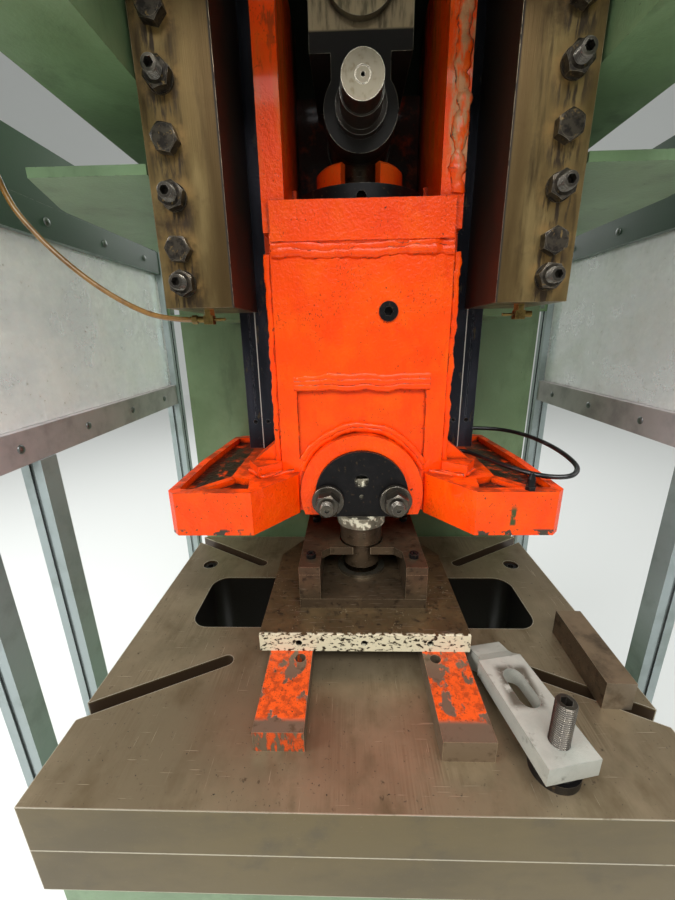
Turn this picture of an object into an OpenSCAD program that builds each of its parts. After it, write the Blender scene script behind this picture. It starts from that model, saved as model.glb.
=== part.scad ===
// Mechanical stamping press: open-front C-frame with an eccentric drive.
// X runs to the right, Y to the back and Z up; the origin lies on the floor under the middle of the press.

/* [Stance] */
// Height of the bolster's top above the floor
table_h = 850; // [800:1:950]

/* [Bolster] */
// Width of the bolster plate and the C-frame
bolster_w = 800; // [790:1:830]
// Gap between the bolster's back edge and the column
table_gap = 16; // [12:1:22]
// Thickness of the bolster plate
bolster_t = 73; // [60:1:90]
// Thickness of the machined bed plate below it
bed_t = 72; // [60:1:90]
// Width of the clamping slots
slot_w = 22; // [16:1:24]
// Half the width over the two chip windows
window_x = 312; // [300:1:320]
// Half the width between the two chip windows
window_gap_x = 120; // [100:1:150]
// Depth of a chip window
window_d = 148; // [120:1:160]
// Corner radius of a chip window
window_r = 32; // [20:1:40]

/* [Frame] */
// Depth of the column
column_l = 500; // [460:1:510]
// Height of the throat opening above the bolster
throat_h = 805; // [790:1:820]
// Height of the crown's top above the crankshaft
crown_top = 230; // [220:1:290]
// Distance from the bolster's front to the front of the crown
crown_front = 60; // [40:1:80]
// Inner half width of the crown
crown_in_x = 280; // [279:1:290]
// Thickness of the crown's inner bearing wall
bearing_wall = 60; // [50:1:70]
// Height of a levelling foot
foot_h = 60; // [50:1:80]

/* [Guides] */
// Half width between the inner faces of the gibs
gib_in_x = 180; // [176:1:184]
// Width of a gib
gib_w = 96; // [90:1:98]
// Depth of a gib
gib_d = 144; // [130:1:150]
// Distance from the bolster's front to the back of the gibs
gib_back = 424; // [415:1:430]
// Height of the gibs' bottom above the bolster
gib_low = 541; // [530:1:560]
// Height of a gib
gib_h = 500; // [490:1:520]
// Width of a guide rail
rail_w = 52; // [44:1:60]
// Depth of a guide rail
rail_d = 50; // [40:1:60]
// Running clearance of the guide rails
guide_gap = 0.05; // [0.03:0.01:0.1]

/* [Slide] */
// Height of the slide's bottom above the bolster at top dead centre
slide_low = 197; // [190:1:205]
// Height of the slide's body
slide_h = 493; // [480:1:500]
// Half width of the body's front box
slide_x = 139; // [130:1:145]
// Distance from the bolster's front to the body's front face
slide_front = 352; // [340:1:360]
// Gap between the slide's back and the column
column_gap = 20; // [16:1:26]
// Thickness of the wing plate
wing_t = 73; // [60:1:80]
// Half width over the wings
wing_x = 308; // [300:1:320]
// Thickness of the upright cheeks on the body
cheek_t = 34; // [24:1:40]
// Height of the cheeks above the body
cheek_h = 330; // [300:1:350]

/* [Die set] */
// Distance from the bolster's front to the die's centre
die_setback = 354; // [350:1:360]
// Height of a parallel
parallel_h = 32; // [25:1:36]
// Width of a parallel
parallel_w = 65; // [55:1:75]
// Thickness of the die base plate
base_t = 30; // [24:1:34]
// Half width of the die base plate
base_x = 162; // [155:1:175]
// Thickness of the die block
die_t = 18; // [15:1:22]
// Half width of the die block
die_x = 105; // [95:1:115]
// Height of the stripper's side rails
strip_rail_h = 46; // [40:1:50]
// Thickness of the stripper plate
strip_t = 14; // [12:1:16]
// Radius of the punch
punch_r = 32.5; // [28:0.5:34]
// Radius of the punch collar
collar_r = 38; // [36:0.5:39]
// Clearance between a punch and its die
die_gap = 0.1; // [0.05:0.05:0.3]
// Radius of the punch holder's shank
shank_r = 25; // [20:0.5:30]

/* [Drive] */
// Distance from the bolster's front to the drive line
drive_setback = 490; // [480:1:500]
// Height of the crankshaft above the bolster
crank_h = 1330; // [1320:1:1350]
// Eccentricity, which is half the stroke
throw = 12; // [8:1:14]
// Radius of the eccentric
ecc_r = 92; // [85:1:100]
// Wall of the connecting rod's big end
big_wall = 42; // [30:1:50]
// Clearance of the big end, as a share of the eccentricity
big_share = 1.03; // [1.02:0.01:1.1]
// Radius of the crankshaft's journals
journal_r = 60; // [50:1:65]
// Running clearance of the bearings
bearing_gap = 0.05; // [0.03:0.01:0.1]
// Height of the wrist pin above the bolster
pin_h = 824; // [815:1:835]
// Radius of the wrist pin
pin_r = 31; // [28:1:34]
// Radius of the adjusting screw
screw_r = 28; // [24:1:32]
// Radius of the ring nut
nut_r = 110; // [100:1:113]
// Radius of the flywheel
wheel_r = 360; // [330:1:380]
// Width of the flywheel
wheel_w = 100; // [90:1:110]
// Gap between the column and the flywheel
wheel_off = 55; // [50:1:70]
// Radius of the motor pulley
pulley_r = 80; // [70:1:90]
// Distance between the flywheel and the motor
belt_c = 620; // [590:1:640]
// Thickness of a belt
belt_t = 10; // [8:1:12]
// Running gap between a belt and its pulley
belt_gap = 0.3; // [0.2:0.1:0.5]
// Radius of the motor
motor_r = 115; // [100:1:125]
// Length of the motor
motor_l = 191; // [180:1:230]

/* [Guards] */
// Distance from the middle to the outer face of a side guard
guard_x = 620; // [600:1:640]
// Side of a guard post
post_w = 40; // [30:1:45]
// Distance from the bolster's front to the guard's rear post
guard_back = 1000; // [950:1:1040]
// Height of the window's lower rail above the bolster
sill_h = 292; // [280:1:310]
// Height of the window between its rails
pane_h = 330; // [300:1:350]
// Height of a window rail
sash_h = 60; // [50:1:70]

/* [Hidden] */
$fn = 48;
green = "#6f8f5a";
orange = "#ee5518";
steel = "#8b8478";
dark = "#2b2a2c";
small = 0.01;

// Gap between the flywheel and the motor
motor_off = 34;
// The column stands behind the ring nut
throat_d = drive_setback + nut_r + column_gap;
column_back = throat_d + column_l;
bolster_d = throat_d - table_gap;
frame_w = bolster_w;
press_d = column_back + wheel_off + wheel_w + motor_off + motor_l;
y0 = -press_d / 2;
zb = table_h;
column_y = y0 + throat_d;
back_y = y0 + column_back;
die_y = y0 + die_setback;
drive_y = y0 + drive_setback;
slide_z = zb + slide_low;
slide_y = y0 + slide_front;
slide_back = column_y - column_gap;
slide_top = slide_z + slide_h;
bed_low = zb - bolster_t - bed_t;
crown_z = zb + throat_h;
crank_z = zb + crank_h;
top_z = crank_z + crown_top;
bearing_y = drive_y - 240;
gib_y = y0 + gib_back;
gib_z = zb + gib_low;
rail_y = gib_y + guide_gap;
rail_x = gib_in_x + 32;
pin_z = zb + pin_h;
cap_z = slide_z + 38;
cap_y = y0 + 324;
base_z = zb + parallel_h;
block_z = base_z + base_t;
ring_z = block_z + die_t;
strip_z = ring_z + strip_rail_h;
window_y = y0 + 354;
frame_x = frame_w / 2;
bolster_x = bolster_w / 2;

// Both signs, for what stands left and right
sides = [-1, 1];

// A box given by its lowest and highest corners
module block(a, b) {
  translate(a) cube([b[0] - a[0], b[1] - a[1], b[2] - a[2]]);
}

// A cylinder along Y, from y to y + l, round (x, z)
module rod_y(x, y, z, r, l) {
  translate([x, y, z]) rotate([-90, 0, 0]) cylinder(r = r, h = l);
}

// A ring along Y
module ring_y(x, y, z, r, hole, l) {
  difference() {
    rod_y(x, y, z, r, l);
    rod_y(x, y - 1, z, hole, l + 2);
  }
}

// A hexagonal prism along Y, from y to y + l, with its width across flats
module hex_y(x, y, z, flats, l, turn = 0) {
  translate([x, y, z]) rotate([-90, turn, 0]) cylinder(r = flats / sqrt(3), h = l, $fn = 6);
}

// A hexagonal prism along Z
module hex_z(x, y, z, flats, h) {
  translate([x, y, z]) cylinder(r = flats / sqrt(3), h = h, $fn = 6);
}

// The same outline as one polygon, for a sheet that is bent around it
module wrap_outline(r1, r2) {
  lean = asin((r1 - r2) / belt_c);
  translate([0, crank_z]) polygon(concat(
    [for (i = [0:36]) let (a = -lean + (180 + 2 * lean) * i / 36) [r1 * cos(a), r1 * sin(a)]],
    [for (i = [0:18]) let (a = 180 + lean + (180 - 2 * lean) * i / 18) [r2 * cos(a), r2 * sin(a) - belt_c]]
  ));
}

// A flat shape drawn in X and Z, standing from y to y + l
module standing(y, l) {
  translate([0, y + l, 0]) rotate([90, 0, 0]) linear_extrude(l) children();
}

// A rectangle with round corners, centred
module round_rect(w, d, r) {
  union() {
    square([w - 2 * r, d], center = true);
    square([w, d - 2 * r], center = true);
    for (sx = sides) for (sy = sides) translate([sx * (w / 2 - r), sy * (d / 2 - r)]) circle(r);
  }
}

// The outline of a belt round two pulleys in X and Z, the upper one at the crankshaft
module belt_outline(r1, r2) {
  lean = asin((r1 - r2) / belt_c);
  a = [r1 * cos(lean), -r1 * sin(lean)];
  b = [r2 * cos(lean), -belt_c - r2 * sin(lean)];
  translate([0, crank_z]) union() {
    circle(r1);
    translate([0, -belt_c]) circle(r2);
    polygon([[-a[0], a[1]], [0, 0], a, b, [0, -belt_c], [-b[0], b[1]]]);
  }
}

// The bolster's outline and openings, used by the plates of the table
module chip_windows(low, high) {
  w = window_x - window_gap_x;
  for (s = sides)
    translate([s * (window_gap_x + w / 2), window_y, low]) linear_extrude(high - low)
      round_rect(w, window_d, window_r);
}

// Clamping slots open at the side edges; their round ends lie in a ring around the die
module clamp_slots(low, high) {
  for (s = sides) for (slot = [[116, 206, 222], [588, 483, 222]]) {
    tip = [s * slot[2], y0 + slot[1], 0];
    edge = [s * (bolster_x + 20), y0 + slot[0] + (slot[0] - slot[1]) * 0.12, 0];
    run = norm(tip - edge);
    turn = atan2(edge[1] - tip[1], edge[0] - tip[0]);
    translate([tip[0], tip[1], low]) {
      cylinder(r = slot_w / 2, h = high - low);
      rotate([0, 0, turn]) translate([0, -slot_w / 2, 0]) cube([run, slot_w, high - low]);
    }
  }
}

// Side profile of the crown in Y and Z
module crown_profile() {
  front = y0 + crown_front;
  polygon([
    [column_y, top_z], [front + 80, top_z], [front, top_z - 80], [front, crown_z],
    [column_y - 70, crown_z], [column_y, crown_z - 70]
  ]);
}

// Seat of one gib: a stepped pad that also backs the guide rail
module gib_seat(s) {
  low = gib_z - 11;
  high = gib_z + gib_h + 11;
  step_y = rail_y + rail_d + guide_gap;
  outer = crown_in_x;
  mirror([s < 0 ? 1 : 0, 0, 0]) {
    block([rail_x + guide_gap, gib_y, low], [outer, column_y + 10, high]);
    block([gib_in_x + 6, step_y, low], [outer, column_y + 10, high]);
  }
}

// Where the gib bolts and the set screws stand, as heights above the gib's bottom
bolt_x = gib_in_x + 66;
bolt_rows = [73, 197, 325, 451];
set_rows = [31, 135, 261, 387];
bolt_r = 10;
set_r = 10;
wall = 60;
bush_r = journal_r + 15;

// Ledge plate beside one gib, welded to the column and the gib's seat
ledge_z = gib_z + 163;
ledge_t = 12;
module ledge(s) {
  mirror([s < 0 ? 1 : 0, 0, 0]) translate([0, 0, ledge_z]) linear_extrude(ledge_t) polygon([
    [crown_in_x, y0 + 284], [438, y0 + 284], [486, y0 + 411], [490, y0 + 430],
    [490, column_y + 140], [frame_x - 10, column_y + 140], [frame_x - 10, column_y + 20],
    [crown_in_x, column_y + 20]
  ]);
}

// Green bed of the frame, open below for a chip bin; its three parts are welded together
module frame_bed() {
  color(green) difference() {
    block([-frame_x, y0 + 20, foot_h], [frame_x, column_y, bed_low]);
    block([-inner_x, y0 + 80, foot_h - 1], [inner_x, column_y - 40, bed_low - 50]);
    block([-220, y0, foot_h + 90], [220, y0 + 90, foot_h + 470]);
    chip_windows(bed_low - 60, bed_low + 1);
    for (s = sides) translate([s * foot_x, y0 + foot_front, foot_h - 1])
      cylinder(r = stem_r + 0.05, h = 41);
  }
}

// Green column, hollow, with the seats of the gibs and the ledges
module frame_column() {
  color(green) difference() {
    union() {
      difference() {
        block([-frame_x, column_y, foot_h], [frame_x, back_y, top_z]);
        block([-inner_x, column_y + wall, foot_h + wall], [inner_x, back_y - wall, top_z - wall]);
      }
      for (s = sides) gib_seat(s);
      for (s = sides) ledge(s);
    }
    rod_y(0, column_y - 1, crank_z, bush_r, column_l + 2);
    for (s = sides) {
      for (h = bolt_rows) rod_y(s * bolt_x, gib_y - 1, gib_z + h, bolt_r + 0.05, 41);
      for (h = set_rows) rod_y(s * bolt_x, gib_y - 1, gib_z + h, set_r + 0.05, 13);
      translate([s * foot_x, back_y - foot_back, foot_h - 1]) cylinder(r = stem_r + 0.05, h = 41);
    }
  }
}

// Green crown: two cheeks, the top and the bearing wall between them
module frame_crown() {
  room_z = crank_z - 210;
  color(green) difference() {
    rotate([90, 0, 90]) translate([0, 0, -frame_x]) linear_extrude(frame_w) crown_profile();
    // Opening between the cheeks, below the bearing wall
    block([-crown_in_x, y0 - 1, crown_z - 80], [crown_in_x, column_y + 1, room_z + 10]);
    // Room for the eccentric, behind the bearing wall
    block([-crown_in_x, bearing_y + bearing_wall, room_z], [crown_in_x, column_y + 1, top_z - wall]);
    // Room in front of the bearing wall
    block([-crown_in_x, y0 - 1, room_z], [crown_in_x, bearing_y, top_z - wall]);
    rod_y(0, bearing_y - 1, crank_z, bush_r, bearing_wall + 2);
  }
}

inner_x = frame_x - wall;
foot_front = 100;
foot_back = 80;
foot_x = frame_x - 30;
stem_r = 15;

// Levelling feet under the frame's corners
module levelling_feet() {
  color("dimgray") for (s = sides) for (y = [y0 + foot_front, back_y - foot_back]) translate([s * foot_x, y, 0]) {
    cylinder(r = 55, h = 16);
    translate([0, 0, 16]) cylinder(r1 = 50, r2 = 30, h = 10);
    translate([0, 0, 26]) cylinder(r = stem_r, h = foot_h + 14);
    translate([0, 0, 30]) hex_z(0, 0, 0, 46, 22);
  }
}

// Machined steel bed plate under the bolster
module bed_plate() {
  color(steel) difference() {
    block([-bolster_x, y0, bed_low], [bolster_x, y0 + bolster_d, bed_low + bed_t]);
    chip_windows(bed_low - 1, bed_low + bed_t + 1);
    for (s = sides) translate([s * bolster_bolt_x, y0 + bolster_bolt_y, bed_low + bed_t - 40])
      cylinder(r = 8.05, h = 41);
    for (s = sides) translate([s * bolster_bolt_x, y0 + 60, bed_low + bed_t - 40])
      cylinder(r = 8.05, h = 41);
  }
}

bolster_bolt_x = 341;
bolster_bolt_y = 478;

// Bolster plate with its clamping slots, chip windows and bolt holes
module bolster() {
  low = bed_low + bed_t;
  color(steel) difference() {
    block([-bolster_x, y0, low], [bolster_x, y0 + bolster_d, zb]);
    chip_windows(low - 1, zb + 1);
    clamp_slots(zb - 30, zb + 1);
    for (s = sides) {
      translate([s * bolster_bolt_x, y0 + bolster_bolt_y, low - 1]) cylinder(r = 8.5, h = bolster_t + 2);
      translate([s * bolster_bolt_x, y0 + bolster_bolt_y, zb - 20]) cylinder(r = 16, h = 21);
    }
    translate([0, die_y, zb - 40]) cylinder(r = 60, h = 41);
  }
}

// Socket screws that hold the bolster
module bolster_bolts() {
  color(dark) for (s = sides)
    translate([s * bolster_bolt_x, y0 + bolster_bolt_y, zb - 20]) difference() {
      union() {
        cylinder(r = 13, h = 16);
        translate([0, 0, 20 - bolster_t - 35]) cylinder(r = 8, h = bolster_t + 15);
      }
      translate([0, 0, 8]) cylinder(r = 7, h = 9, $fn = 6);
    }
}

// Sheet cover over the front of the crown
module crown_cover() {
  t = 3;
  low = crank_z - 320;
  high = top_z - 110;
  w = crown_in_x + 60;
  front = y0 + crown_front;
  color(green) difference() {
    union() {
      block([-w, front - 30, low], [w, front - 0, high]);
    }
    block([-w + t, front - 30 + t, low + t], [w - t, front + 1, high - t]);
    for (i = [-3:3]) block([i * 60 - 20, front - 31, low + 120], [i * 60 + 20, front - 20, low + 128]);
    for (i = [-3:3]) block([i * 60 - 20, front - 31, low + 140], [i * 60 + 20, front - 20, low + 148]);
  }
}

// Flat covers on the sides of the crown and the column
cover_t = 4;
module side_covers() {
  tall = top_z - crown_z - 340;
  color("#5c7d4e") for (s = sides) {
    translate([s > 0 ? frame_x : -frame_x - cover_t, column_y + column_l / 2 - 20, zb + 250])
      rotate([90, 0, 90]) linear_extrude(cover_t) round_rect(280, 520, 20);
    translate([s > 0 ? frame_x : -frame_x - cover_t, column_y - 60, crown_z + 190 + tall / 2])
      rotate([90, 0, 90]) linear_extrude(cover_t) round_rect(620, tall, 20);
  }
}

// One gib: the block that keeps a guide rail in its seat
module gib(s) {
  mirror([s < 0 ? 1 : 0, 0, 0]) difference() {
    block([gib_in_x, gib_y - gib_d, gib_z], [gib_in_x + gib_w, gib_y, gib_z + gib_h]);
    for (h = bolt_rows) rod_y(bolt_x, gib_y - gib_d - 1, gib_z + h, bolt_r + 0.5, gib_d + 2);
    for (h = set_rows) rod_y(bolt_x, gib_y - gib_d - 1, gib_z + h, set_r + 0.5, gib_d + 2);
    // Oil hole from the bottom
    translate([bolt_x - 16, gib_y - gib_d + 40, gib_z - 1]) cylinder(r = 5.05, h = 31);
  }
}
module gib_left() {
  color("#7a6a48") gib(-1);
}
module gib_right() {
  color("#7a6a48") gib(1);
}

// Hexagon bolts through the gibs into the frame
module gib_bolts() {
  face = gib_y - gib_d;
  color("#4a4640") for (s = sides) for (h = bolt_rows) {
    hex_y(s * bolt_x, face - 14, gib_z + h, 30, 14, h * 7);
    rod_y(s * bolt_x, face - 1, gib_z + h, bolt_r, gib_d + 40);
  }
}

// Set screws with lock nuts on the gibs
module gib_set_screws() {
  face = gib_y - gib_d;
  color("#4a4640") for (s = sides) for (h = set_rows) difference() {
    union() {
      hex_y(s * bolt_x, face - 16, gib_z + h, 30, 16, h * 5);
      rod_y(s * bolt_x, face - 30, gib_z + h, set_r, gib_d + 42);
    }
    translate([s * bolt_x, face - 31, gib_z + h]) rotate([-90, 0, 0]) cylinder(r = 5.8, h = 12, $fn = 6);
  }
}

// Radius of the boss around the shank cap, and the bevelled recess that takes the cap
boss_r = 106;
cap_r = 80;
mid_x = 110;
wing_top = slide_z + wing_t;
rail_low = wing_top + 24;
rail_high = slide_top + 320;
bore_low = slide_top - 160;

// Slide body: a welded box with cheeks, the boss of the shank cap and the ring wall of the nut
module slide_body() {
  boss_y = slide_y - 20;
  color(orange) difference() {
    union() {
      block([-slide_x, slide_y, wing_top], [slide_x, gib_y, slide_top]);
      block([-rail_x + rail_w, gib_y - small, wing_top], [rail_x - rail_w, slide_back, slide_top]);
      // Upper band and its bevel
      block([-slide_x + 3, slide_y - 6, slide_top - 54], [slide_x - 3, slide_y, slide_top]);
      // Block between the wings
      block([-mid_x, slide_y, slide_z], [mid_x, slide_back, wing_top]);
      intersection() {
        rod_y(0, boss_y, cap_z, boss_r, 40);
        block([-boss_r, boss_y, slide_z], [boss_r, slide_y + 10, cap_z + boss_r]);
      }
      // Upright cheeks
      for (s = sides) mirror([s < 0 ? 1 : 0, 0, 0])
        translate([148 - cheek_t, 0, 0]) rotate([90, 0, 90]) linear_extrude(cheek_t) polygon([
          [slide_y + 4, slide_top - 40], [slide_back, slide_top - 40], [slide_back, slide_top + cheek_h],
          [slide_y + 20, slide_top + cheek_h], [slide_y + 4, slide_top + cheek_h - 60]
        ]);
      // Rear wall between the cheeks
      block([-120, slide_back - 20, slide_top - 10], [120, slide_back, slide_top + cheek_h - 100]);
      // Ring wall around the nut, open at the front
      translate([0, drive_y, slide_top - 10]) difference() {
        cylinder(r = nut_r + 14, h = 56);
        translate([-nut_r - 20, -nut_r - 60, 10]) cube([2 * nut_r + 40, nut_r + 30, 60]);
      }
    }
    // Seat of the ring nut and bore of the adjusting screw
    translate([0, drive_y, slide_top - 6]) cylinder(r = nut_r + 1, h = 60);
    translate([0, drive_y, bore_low]) cylinder(r = screw_r + 0.5, h = 200);
    // Recessed lower panel
    difference() {
      block([-108, slide_y - 1, cap_z + 60], [108, slide_y + 6, slide_z + 224]);
      rod_y(0, slide_y - 2, cap_z, boss_r, 12);
    }
    // Seat of the shank cap, its stud holes and the bore of the shank
    intersection() {
      rod_y(0, boss_y - 1, cap_z, cap_r + 0.3, 21 + die_y - boss_y - 20);
      block([-100, boss_y - 2, slide_z - 1], [100, die_y, cap_z + 100]);
    }
    translate([0, die_y, slide_z - 1]) cylinder(r = shank_r + 0.05, h = 71);
    for (s = sides) rod_y(s * stud_x, die_y - 1, stud_z, stud_r + 0.05, 61);
    // Threaded socket hole of the plug
    rod_y(plug_x, slide_y - 10, plug_z, 15.05, 50);
    for (s = sides) mirror([s < 0 ? 1 : 0, 0, 0]) for (h = rail_screw_rows)
      translate([rail_x - rail_w - 30, gib_y + 26, rail_low + h]) rotate([0, 90, 0])
        cylinder(r = 5.05, h = 31);
  }
}

stud_x = 58;
stud_z = slide_z + 32;
stud_r = 12;
plug_x = 42;
plug_z = slide_top - 154;
rail_screw_rows = [70, 320, 570];

// Outline of one wing in plan: the whole plate and, inset, its pocket
module wing_outline() {
  polygon([
    [mid_x, y0 + 340], [174, y0 + 258], [wing_x - 12, y0 + 258], [wing_x, y0 + 270],
    [wing_x, y0 + 422], [wing_x - 16, slide_back], [wing_x - 40, slide_back + 12],
    [mid_x, slide_back + 12]
  ]);
}
module wing_pocket() {
  polygon([
    [182, y0 + 276], [wing_x - 18, y0 + 276], [wing_x - 14, y0 + 282],
    [wing_x - 14, y0 + 418], [wing_x - 28, slide_back - 10], [rail_x + 12, slide_back - 10],
    [rail_x + 12, y0 + 330], [190, y0 + 318]
  ]);
}

// Wings: the heavy plate on both sides of the slide's foot, with pockets, ribs and gussets
module slide_wings() {
  color(orange) for (s = sides) mirror([s < 0 ? 1 : 0, 0, 0]) {
    difference() {
      translate([0, 0, slide_z]) linear_extrude(wing_t) wing_outline();
      difference() {
        translate([0, 0, wing_top - 12]) linear_extrude(13) wing_pocket();
        translate([238, y0 + 315, wing_top - 13]) rotate([0, 0, -50]) cube([150, 14, 20], center = true);
      }
    }
    // Gusset against the body
    standing(y0 + 362, 46) polygon([[slide_x, wing_top - small], [slide_x + 60, wing_top - small],
      [slide_x + 52, wing_top + 18], [slide_x, wing_top + 62]]);
    // Knee between the gusset and the nose
    translate([0, 0, wing_top - small]) linear_extrude(20)
      polygon([
        [slide_x, y0 + 362], [slide_x + 60, y0 + 362], [slide_x + 36, y0 + 322],
        [slide_x, y0 + 346]
      ]);
  }
}

// Hardened guide rails on the sides of the slide
module guide_rails() {
  color("#2d3138") for (s = sides) mirror([s < 0 ? 1 : 0, 0, 0]) difference() {
    block([rail_x - rail_w, rail_y, rail_low], [rail_x, rail_y + rail_d, rail_high]);
    // Oil groove in the front face
    translate([rail_x - 17, rail_y - 1, rail_low + 60]) cube([2, 2.5, rail_high - rail_low - 120]);
    for (h = rail_screw_rows) translate([rail_x - rail_w - 1, gib_y + 26, rail_low + h]) {
      rotate([0, 90, 0]) cylinder(r = 5.5, h = rail_w + 2);
      translate([rail_w + 1 - 12, 0, 0]) rotate([0, 90, 0]) cylinder(r = 9, h = 13);
    }
    for (x = pad_screw_x) rod_y(x, rail_y - 1, rail_low + 52, 4.05, 16);
  }
}
pad_screw_x = [rail_x - rail_w + 14, rail_x - 14];

// Screws of the guide rails
module rail_screws() {
  color(dark) for (s = sides) mirror([s < 0 ? 1 : 0, 0, 0]) {
    for (h = rail_screw_rows) translate([rail_x - 12, gib_y + 26, rail_low + h]) rotate([0, 90, 0])
      difference() {
        union() {
          cylinder(r = 8, h = 10);
          translate([0, 0, 12 - rail_w - 28]) cylinder(r = 5, h = rail_w + 17);
        }
        translate([0, 0, 5]) cylinder(r = 4.6, h = 6, $fn = 6);
      }
    for (x = pad_screw_x) difference() {
      rod_y(x, rail_y + 1, rail_low + 52, 4, 14);
      translate([x, rail_y, rail_low + 52]) rotate([-90, 0, 0]) cylinder(r = 2.4, h = 5, $fn = 6);
    }
  }
}

// Round cap that clamps the punch holder's shank; it is cut flat at the slide's bottom
module shank_cap() {
  depth = die_y - cap_y - 0.4;
  color("#232225") difference() {
    intersection() {
      rod_y(0, cap_y, cap_z, cap_r, depth);
      block([-cap_r, cap_y, slide_z], [cap_r, cap_y + depth, cap_z + cap_r]);
    }
    translate([0, die_y, slide_z - 1]) cylinder(r = shank_r + 0.05, h = 72);
    for (s = sides) rod_y(s * stud_x, cap_y - 1, stud_z, stud_r + 0.5, depth + 2);
    rod_y(0, cap_y - 1, cap_z + 28, 12, 12);
    rod_y(0, cap_y - 1, cap_z - 1, 4, 8);
  }
}

// Studs of the shank cap
module cap_studs() {
  color("#77726a") for (s = sides) difference() {
    rod_y(s * stud_x, cap_y - 46, stud_z, stud_r, die_y + 55 - cap_y + 46);
    rod_y(s * stud_x, cap_y - 47, stud_z, 4, 3);
  }
}

// Thick washers and nuts on the studs
module cap_nuts() {
  color("#77726a") for (s = sides) difference() {
    union() {
      rod_y(s * stud_x, cap_y - 10, stud_z, 27.5, 10);
      hex_y(s * stud_x, cap_y - 32, stud_z, 37, 22 + small, 12);
    }
    rod_y(s * stud_x, cap_y - 33, stud_z, stud_r + 0.05, 34);
  }
}

// Threaded plug with a hexagon socket in the body's front
module body_plug() {
  color("#3a3836") difference() {
    rod_y(plug_x, slide_y - 3, plug_z, 15, 40);
    translate([plug_x, slide_y - 4, plug_z]) rotate([-90, 0, 0]) cylinder(r = 7.5, h = 12, $fn = 6);
  }
}

// Ring nut that holds the adjusting screw in the slide
module ring_nut() {
  color(dark) translate([0, drive_y, slide_top - 6]) difference() {
    cylinder(r = nut_r, h = 36);
    translate([0, 0, -1]) cylinder(r = screw_r + 0.05, h = 38);
    for (a = [0:60:300]) rotate([0, 0, a + 30]) translate([nut_r, 0, 18]) rotate([0, 90, 0])
      cylinder(r = 8, h = 30, center = true);
  }
}

// Adjusting screw: a threaded shank with an eye for the wrist pin
eye_r = 53;
eye_w = 80;
arm_w = 40;
arm_gap = 0.5;
module adjusting_screw() {
  color("#4b4641") difference() {
    union() {
      translate([0, drive_y, bore_low + 2]) cylinder(r = screw_r, h = pin_z - bore_low - 2);
      rod_y(0, drive_y - eye_w / 2, pin_z, eye_r, eye_w);
    }
    rod_y(0, drive_y - eye_w, pin_z, pin_r + 0.05, 2 * eye_w);
  }
}

// Wrist pin: stepped, with a centre hole in its front end
module wrist_pin() {
  front = slide_y - 24;
  arm_front = drive_y - eye_w / 2 - arm_gap - arm_w;
  color("#b3ab9c") difference() {
    union() {
      rod_y(0, front, pin_z, pin_r - 2.5, 34);
      rod_y(0, front + 32, pin_z, pin_r, drive_y + eye_w / 2 + arm_gap + arm_w + 6 - front - 32);
      rod_y(0, arm_front - 14, pin_z, pin_r + 7, 13.7);
      rod_y(0, drive_y + eye_w / 2 + arm_gap + arm_w + 0.3, pin_z, pin_r + 7, 8);
    }
    difference() {
      rod_y(0, front - 1, pin_z, 10.5, 2);
      rod_y(0, front - 2, pin_z, 9.5, 4);
    }
    rod_y(0, front - 1, pin_z, 3, 10);
  }
}

// Connecting rod with a forked foot, a clamp block and a big end around the eccentric
big_r = ecc_r + throw * big_share;
big_out = big_r + big_wall;
rod_w = 100;
clamp_w = 150;
clamp_low = 68;
clamp_h = 150;
module connecting_rod() {
  cz = crank_z + throw;
  arm_in = eye_w / 2 + arm_gap;
  half = arm_in + arm_w;
  color("#a59c88") difference() {
    union() {
      for (y = [drive_y - half, drive_y + arm_in]) {
        rod_y(0, y, pin_z, eye_r + 3, arm_w);
        block([-44, y, pin_z], [44, y + arm_w, pin_z + clamp_low + 4]);
      }
      block([-clamp_w / 2, drive_y - half, pin_z + clamp_low],
        [clamp_w / 2, drive_y + half, pin_z + clamp_low + clamp_h]);
      rod_y(0, drive_y - half - 12, pin_z + 152, 50, 14);
      translate([0, drive_y - rod_w / 2, 0]) standing(0, rod_w) polygon([
        [-64, pin_z + clamp_low + clamp_h - 1], [64, pin_z + clamp_low + clamp_h - 1],
        [54, pin_z + clamp_low + clamp_h + 60], [78, cz - big_out * 0.8], [-78, cz - big_out * 0.8],
        [-54, pin_z + clamp_low + clamp_h + 60]
      ]);
      rod_y(0, drive_y - rod_w / 2, cz, big_out, rod_w);
      for (s = sides) block([s * (big_out + 4) - 24, drive_y - 36, cz - 34],
        [s * (big_out + 4) + 24, drive_y + 36, cz + 34]);
    }
    rod_y(0, drive_y - rod_w, cz, big_r, 2 * rod_w);
    rod_y(0, drive_y - 2 * eye_w, pin_z, pin_r + 0.05, 4 * eye_w);
    // Split between the rod and its cap
    block([-big_out - 40, drive_y - rod_w, cz], [big_out + 40, drive_y + rod_w, cz + 2]);
    for (s = sides) translate([s * rod_bolt_x, drive_y, cz - 33]) cylinder(r = 8.1, h = 80);
  }
}
rod_bolt_x = big_out + 13;

// Bolts of the big end's cap
module rod_cap_bolts() {
  cz = crank_z + throw;
  color(dark) for (s = sides) translate([s * rod_bolt_x, drive_y, cz]) {
    translate([0, 0, -30]) cylinder(r = 8, h = 65);
    hex_z(0, 0, 34, 24, 12);
  }
}

// Heights along the punch, from the slide's bottom down
flange_t = 20;
flange_r = 43;
collar_h = 34;
punch_l = 48;
collar_z = slide_z - flange_t - collar_h;
tip_z = collar_z - punch_l;

// Punch holder: a flange with the shank that the cap clamps
module punch_holder() {
  color("#b9b3a4") translate([0, die_y, slide_z - flange_t]) difference() {
    union() {
      cylinder(r = flange_r, h = flange_t);
      cylinder(r = shank_r, h = flange_t + 68);
    }
    translate([0, 0, -1]) cylinder(r = 10.05, h = 31);
  }
}

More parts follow.
